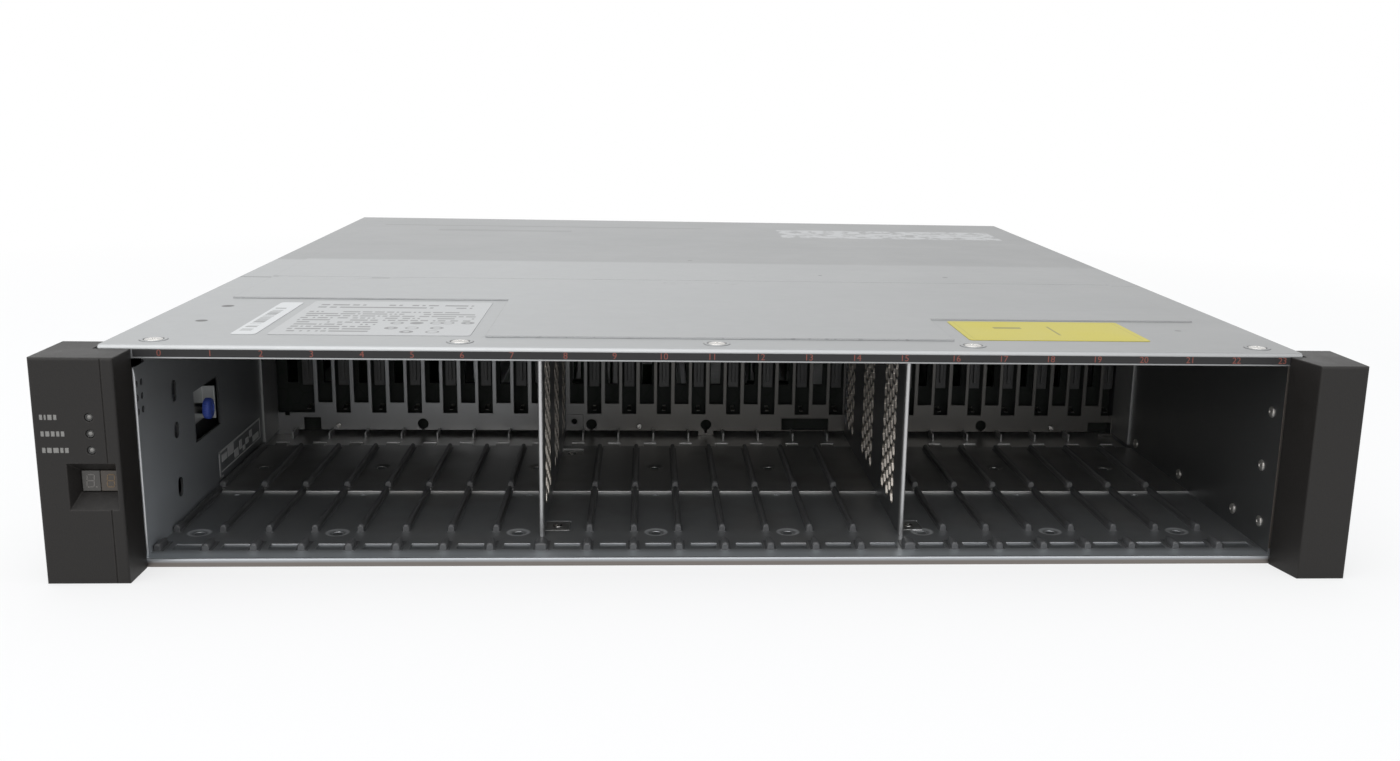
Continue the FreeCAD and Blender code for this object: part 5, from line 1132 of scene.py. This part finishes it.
def make_cover_screws():
    screws = bmesh.new()
    rings = bmesh.new()
    for low, high in loose_parts("cover_screws"):
        centre = (low + high) / 2
        radius = (high.x - low.x) / 2
        driven_screw(screws, (centre.x, centre.y, high.z - 0.5 * MM), 2, 1, radius, 0.42 * MM, 6)
        lathe(screws, (centre.x, centre.y, low.z), 2, [(0, 0), (radius * 0.45, 0),
              (radius * 0.45, high.z - low.z - 0.55 * MM), (0, high.z - low.z - 0.55 * MM)], 16)
        floor = high.z - 0.5 * MM
        inner = radius + 0.5 * MM
        outer = RING_RADIUS - 0.4 * MM
        lathe(rings, (centre.x, centre.y, floor), 2,
              [(radius + 0.1 * MM, 0.0), (inner, RING_RISE), (outer, RING_RISE), (RING_RADIUS, 0.0),
               (outer, 0.05 * MM), (inner, 0.05 * MM)], 40)
    finish_piece(screws, "star_screws", screw_steel, "screw_steel", CHASSIS, "cover_screws")
    finish_piece(rings, "screw_dishes", cover_zinc, "zinc_steel", CHASSIS)


make_cover_screws()


# ---------------------------------------------------------------------------------------------
# Number strip.
# A black plastic strip glued under the cover's front edge numbers the drive bays from 0 to 23 in
# small reddish figures.
# ---------------------------------------------------------------------------------------------

BAY_COUNT = 24
BAYS_PER_GROUP = 8
GROUP_GAP = 1.6 * MM
RAIL_HALF = 1.3 * MM
FIGURE_OFFSET = 11.0 * MM
FIGURE_SIZE = 3.5 * MM
FIGURE_SHEET = 0.04 * MM
STRIP_BLACK = (0.018, 0.0175, 0.018)
FIGURE_RED = (0.20, 0.06, 0.045)


def flat_text(words, size, sheet):
    """Words as a thin mesh standing upright and facing the front, centred on the origin."""
    curve = bpy.data.curves.new("plain mark", "FONT")
    curve.body = words
    curve.size = size
    curve.extrude = sheet / 2
    curve.resolution_u = 3
    curve.align_x = "CENTER"
    curve.align_y = "CENTER"
    holder = bpy.data.objects.new("plain mark", curve)
    bpy.context.scene.collection.objects.link(holder)
    bpy.context.view_layer.update()
    mesh = bpy.data.meshes.new_from_object(holder.evaluated_get(bpy.context.evaluated_depsgraph_get()))
    bpy.data.objects.remove(holder)
    bpy.data.curves.remove(curve)
    mesh.transform(Matrix.Rotation(math.pi / 2, 4, "X"))
    return mesh


def place_text(solid, words, size, sheet, place):
    mesh = flat_text(words, size, sheet)
    mesh.transform(Matrix.Translation(place))
    solid.from_mesh(mesh)
    bpy.data.meshes.remove(mesh)


def make_bay_numbers():
    """A figure over the middle of every bay, measured from its left rail."""
    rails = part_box("front_guide_rails")
    first, last = rails[0][0] + RAIL_HALF, rails[1][0] - RAIL_HALF
    gaps = BAY_COUNT // BAYS_PER_GROUP - 1
    pitch = (last - first - gaps * GROUP_GAP) / (BAY_COUNT - 1)
    low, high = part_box("number_strip")
    figures = bmesh.new()
    for bay in range(BAY_COUNT):
        line = first + bay * pitch + bay // BAYS_PER_GROUP * GROUP_GAP
        place_text(figures, str(bay), FIGURE_SIZE, FIGURE_SHEET,
                   (line + FIGURE_OFFSET, low[1] - FIGURE_SHEET, (low[2] + high[2]) / 2))
    finish_piece(figures, "bay_numbers", figure_red, "strip_black", CHASSIS)


strip_black = moulded("strip black", STRIP_BLACK, 0.5, edge=0.3, Specular_IOR_Level=0.3)
dress(strip_black, "number_strip")
figure_red = moulded("figure red", FIGURE_RED, 0.5, edge=0.0, Specular_IOR_Level=0.3)
make_bay_numbers()


# ---------------------------------------------------------------------------------------------
# Wall rivets.
# Domed steel rivets along the right wall of the bay.
# ---------------------------------------------------------------------------------------------

RIVET_STEEL = (0.50, 0.48, 0.45)
RIVET_RISE = 0.9 * MM


def make_wall_rivets():
    rivets = bmesh.new()
    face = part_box("wall_rivets")[1][0]
    for low, high in loose_parts("wall_rivets"):
        centre = (low + high) / 2
        radius = (high.y - low.y) / 2
        dome = [(0, 0), (radius, 0), (radius, -RIVET_RISE * 0.35), (radius * 0.92, -RIVET_RISE * 0.6),
                (radius * 0.7, -RIVET_RISE * 0.88), (radius * 0.4, -RIVET_RISE),
                (radius * 0.34, -RIVET_RISE * 0.7), (0, -RIVET_RISE * 0.6)]
        lathe(rivets, (face, centre.y, centre.z), 0, dome, 28)
    finish_piece(rivets, "domed_rivets", rivet_steel, "screw_steel", CHASSIS, "wall_rivets")


rivet_steel = sheet_metal("rivet steel", RIVET_STEEL, 0.30, cloud=0.15, metallic=0.8)
make_wall_rivets()


# ---------------------------------------------------------------------------------------------
# End caps.
# Warm black moulded caps over the rack ears, with a fine line moulded into the front; the left
# one has the pocket of the display, three round lights and a printed bar beside each.
# ---------------------------------------------------------------------------------------------

BAR_SHEET = 0.05 * MM
BAR_HEIGHT = 1.9 * MM
BAR_START = -238.7
BAR_GAP = 0.5
# The height of each row and the widths of its blocks, in mm.
BAR_ROWS = ((62.0, (1.1, 0.7, 1.5, 1.1)),
            (56.0, (1.1, 1.4, 1.3, 1.1, 1.2)),
            (50.0, (1.2, 1.6, 1.9, 1.1, 1.3)))
CAP_BLACK = (0.0135, 0.0122, 0.0112)
PRINT_GREY = (0.20, 0.195, 0.185)


def cap_paint(tree, colour, rough):
    """Thumbs have polished the front and left faint marks."""
    place = add(tree, "TexCoord").outputs["Object"]
    marks = add(tree, "TexNoise", {"Vector": place, "Scale": 38.0, "Detail": 5.0, "Roughness": 0.65})
    rubbed = ramp(tree, marks.outputs["Fac"], 0.52, 0.70)
    return colour, maths(tree, "MULTIPLY_ADD", rubbed, -0.08, rough)


def make_cap_bars():
    """Rows of small blocks stand where the function of each light is printed."""
    bars = bmesh.new()
    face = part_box("left_end_cap")[0][1]
    for level, widths in BAR_ROWS:
        x = BAR_START
        for width in widths:
            rounded_slab(bars, (x * MM, face - BAR_SHEET, level * MM - BAR_HEIGHT / 2),
                         ((x + width) * MM, face, level * MM + BAR_HEIGHT / 2), 0.15 * MM, axis=1, steps=2)
            x += width + BAR_GAP
    finish_piece(bars, "function_bars", print_grey, "paper_white", "left_cap")


cap_plastic = moulded("cap plastic", CAP_BLACK, 0.48, edge=1.6, radius=0.0008, dust=0.015,
                      paint=cap_paint, Specular_IOR_Level=0.28)
dress(cap_plastic, "left_end_cap", "right_end_cap")
print_grey = moulded("print grey", PRINT_GREY, 0.5, edge=0.0, Specular_IOR_Level=0.3)
make_cap_bars()


# ---------------------------------------------------------------------------------------------
# Status lights, display and identification button.
# Clouded domed lenses in black sleeves; two seven-segment figures behind a smoked filter; a soft
# grey button reached through the cap.
# ---------------------------------------------------------------------------------------------

SEGMENT = 0.42 * MM
DIGIT_WIDTH = 2.5 * MM
DIGIT_HEIGHT = 4.6 * MM
DIGIT_SLANT = 0.08
DIGIT_SHEET = 0.05 * MM
LENS_GREY = (0.16, 0.155, 0.145)
FILTER_GREY = (0.040, 0.037, 0.033)
FILTER_BROWN = (0.040, 0.030, 0.021)
FIGURE_GREY = (0.16, 0.15, 0.14)
FIGURE_BROWN = (0.15, 0.10, 0.055)
BUTTON_GREY = (0.12, 0.12, 0.118)


def make_lights():
    lenses = bmesh.new()
    sleeves = bmesh.new()
    for low, high in loose_parts("status_lights"):
        centre = (low + high) / 2
        radius = (high.x - low.x) / 2
        depth = high.y - low.y
        start = (centre.x, high.y, centre.z)
        lathe(lenses, start, 1, [(0, 0), (radius * 0.82, 0), (radius * 0.82, -depth * 0.90),
                                 (radius * 0.70, -depth * 0.95), (radius * 0.4, -depth * 0.99),
                                 (0, -depth)], 28)
        lathe(sleeves, start, 1, [(radius * 0.86, 0), (radius, 0), (radius, -depth * 0.97),
                                  (radius * 0.95, -depth), (radius * 0.88, -depth),
                                  (radius * 0.86, -depth * 0.95)], 28)
    finish_piece(lenses, "light_lenses", lens_grey, "light_lens", CHASSIS, "status_lights")
    finish_piece(sleeves, "light_sleeves", connector_black, "connector_black", CHASSIS)


def segment(solid, x, z, face, length, upright):
    """One bar of a figure with pointed ends."""
    half = SEGMENT / 2
    outline = [(0, 0), (half, half), (length - half, half), (length, 0), (length - half, -half),
               (half, -half)]
    ring = []
    for along, across in outline:
        place_x, place_z = (x + across, z + along) if upright else (x + along, z + across)
        ring.append((place_x + (place_z - z) * (DIGIT_SLANT if upright else 0), place_z))
    loft(solid, [[(px, face, pz) for px, pz in ring], [(px, face - DIGIT_SHEET, pz) for px, pz in ring]])


def make_figure(solid, x, z, face):
    half = DIGIT_HEIGHT / 2
    for row in range(3):
        lean = DIGIT_SLANT * row * half
        segment(solid, x + lean + SEGMENT * 0.2, z + row * half, face, DIGIT_WIDTH - SEGMENT * 0.4, False)
    for row in range(2):
        lean = DIGIT_SLANT * row * half
        for side in (0, 1):
            segment(solid, x + side * DIGIT_WIDTH + lean, z + row * half + SEGMENT * 0.2, face,
                    half - SEGMENT * 0.4, True)


def make_display():
    low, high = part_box("shelf_display")
    gap = 0.12 * MM
    middle = (low[0] + high[0]) / 2
    filters = bmesh.new()
    rounded_slab(filters, low, (middle - gap, high[1], high[2]), 0.3 * MM, axis=1)
    rounded_slab(filters, (middle + gap, low[1], low[2]), high, 0.3 * MM, axis=1)
    finish_piece(filters, "display_filters", display_filter, "display_filter", CHASSIS, "shelf_display")
    rise = low[2] + (high[2] - low[2] - DIGIT_HEIGHT) / 2
    for name, start, material in (("left_figure", low[0] + 1.5 * MM, figure_grey),
                                  ("right_figure", middle + 2.2 * MM, figure_brown)):
        figure = bmesh.new()
        make_figure(figure, start, rise, low[1])
        if name == "left_figure":
            lathe(figure, (start + DIGIT_WIDTH + 0.9 * MM, low[1], rise), 1, [(0, 0), (0.3 * MM, 0),
                  (0.3 * MM, -DIGIT_SHEET), (0, -DIGIT_SHEET)], 12)
        finish_piece(figure, name, material, "display_filter", CHASSIS)


def display_paint(tree, colour, rough):
    """The left half has faded to grey, the right one keeps its brown tint."""
    low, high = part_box("shelf_display")
    half = between(tree, coordinates(tree)[0], (low[0] + high[0]) / 2 / MM, high[0] / MM + 1, 0.1)
    return mix_colour(tree, half, colour, FILTER_BROWN), rough


lens_grey = moulded("lens grey", LENS_GREY, 0.18, edge=0.3, bump=0.05, dust=0.0, Coat_Weight=0.5)
display_filter = moulded("display filter", FILTER_GREY, 0.25, edge=0.4, bump=0.03, dust=0.0,
                         paint=display_paint, Coat_Weight=0.3)
figure_grey = moulded("figure grey", FIGURE_GREY, 0.45, edge=0.0)
figure_brown = moulded("figure brown", FIGURE_BROWN, 0.45, edge=0.0)
button_grey = moulded("button grey", BUTTON_GREY, 0.5, edge=0.3)
dress(button_grey, "shelf_id_button")
make_lights()
make_display()


# ---------------------------------------------------------------------------------------------
# Floor, light and camera.
# The shelf stands on a pale matte floor that fades into a plain bright surround; two large soft
# lamps hang above it and before it, and the camera looks into its mouth from slightly above.
# ---------------------------------------------------------------------------------------------

WHITE = (1.0, 1.0, 1.0, 1.0)
FLOOR_SIZE = 12.0
FLOOR_NEAR_GLOW = 0.70
FLOOR_FADE = (0.55, 1.0)
FLOOR_GREY = (0.86, 0.86, 0.86, 1.0)
SKY_TINT = (0.93, 0.96, 1.0, 1.0)
SKY_POWER = 0.6


def seen_directly(tree):
    """1 for rays from the camera, a mirror or a glass, 0 for light that falls on the object."""
    path = add(tree, "LightPath").outputs
    return maths(tree, "MAXIMUM", maths(tree, "MAXIMUM", path["Is Camera Ray"], path["Is Glossy Ray"]),
                 path["Is Transmission Ray"])


def make_floor():
    bpy.ops.mesh.primitive_plane_add(size=FLOOR_SIZE)
    floor = bpy.context.object
    floor.name = "studio_floor"
    material, tree, shader = new_material("studio floor", Roughness=0.9)
    shader.inputs["Base Color"].default_value = FLOOR_GREY
    glow = add(tree, "Emission", {"Color": WHITE, "Strength": 1.0})
    reach = add(tree, "VectorMath", {0: add(tree, "TexCoord").outputs["Object"]}, operation="LENGTH")
    far = ramp(tree, reach.outputs["Value"], FLOOR_FADE[0], FLOOR_FADE[1], FLOOR_NEAR_GLOW, 1.0)
    share = maths(tree, "MULTIPLY", seen_directly(tree), far)
    mixed = add(tree, "MixShader", {0: share, 1: shader.outputs[0], 2: glow.outputs[0]})
    tree.links.new(mixed.outputs[0], tree.nodes["Material Output"].inputs["Surface"])
    floor.data.materials.append(material)


def make_world():
    world = bpy.data.worlds.new("studio")
    world.use_nodes = True
    bpy.context.scene.world = world
    tree = world.node_tree
    plain = tree.nodes["Background"]
    plain.inputs["Color"].default_value = SKY_TINT
    plain.inputs["Strength"].default_value = SKY_POWER
    shown = add(tree, "Background", {"Color": WHITE, "Strength": 1.0})
    mixed = add(tree, "MixShader", {0: seen_directly(tree), 1: plain.outputs[0], 2: shown.outputs[0]})
    tree.links.new(mixed.outputs[0], tree.nodes["World Output"].inputs["Surface"])


def make_light(name, place, target, size, power):
    lamp = bpy.data.lights.new(name, "AREA")
    lamp.shape = "RECTANGLE"
    lamp.size, lamp.size_y = size
    lamp.energy = power
    holder = bpy.data.objects.new(name, lamp)
    holder.location = place
    holder.rotation_euler = (Vector(target) - Vector(place)).to_track_quat("-Z", "Y").to_euler()
    bpy.context.scene.collection.objects.link(holder)


CAMERA_PLACE = (-0.0271, -0.7265, 0.1806)
CAMERA_PITCH = 0.221
CAMERA_YAW = 0.070
CAMERA_ROLL = 0.021
CAMERA_LENS = 34.78
CAMERA_SHIFT = (-0.0268, 0.0058)


def make_camera():
    camera = bpy.data.cameras.new("studio camera")
    camera.lens = CAMERA_LENS
    camera.shift_x, camera.shift_y = CAMERA_SHIFT
    camera.clip_start = 0.01
    holder = bpy.data.objects.new("studio camera", camera)
    turned = (Matrix.Rotation(CAMERA_ROLL, 4, "Y") @ Matrix.Rotation(CAMERA_PITCH, 4, "X")
              @ Matrix.Rotation(CAMERA_YAW, 4, "Z")).transposed()
    holder.matrix_world = Matrix.Translation(CAMERA_PLACE) @ turned @ Matrix.Rotation(math.pi / 2, 4, "X")
    bpy.context.scene.collection.objects.link(holder)
    bpy.context.scene.camera = holder


make_floor()
make_world()
make_light("ceiling light", (-0.3, -0.2, 2.2), (0, 0.1, 0), (3.6, 3.0), 32)
make_light("front light", (-0.6, -2.4, 1.35), (0, 0, 0.04), (6.0, 2.4), 50)
make_camera()
bpy.context.scene.view_settings.view_transform = "Standard"
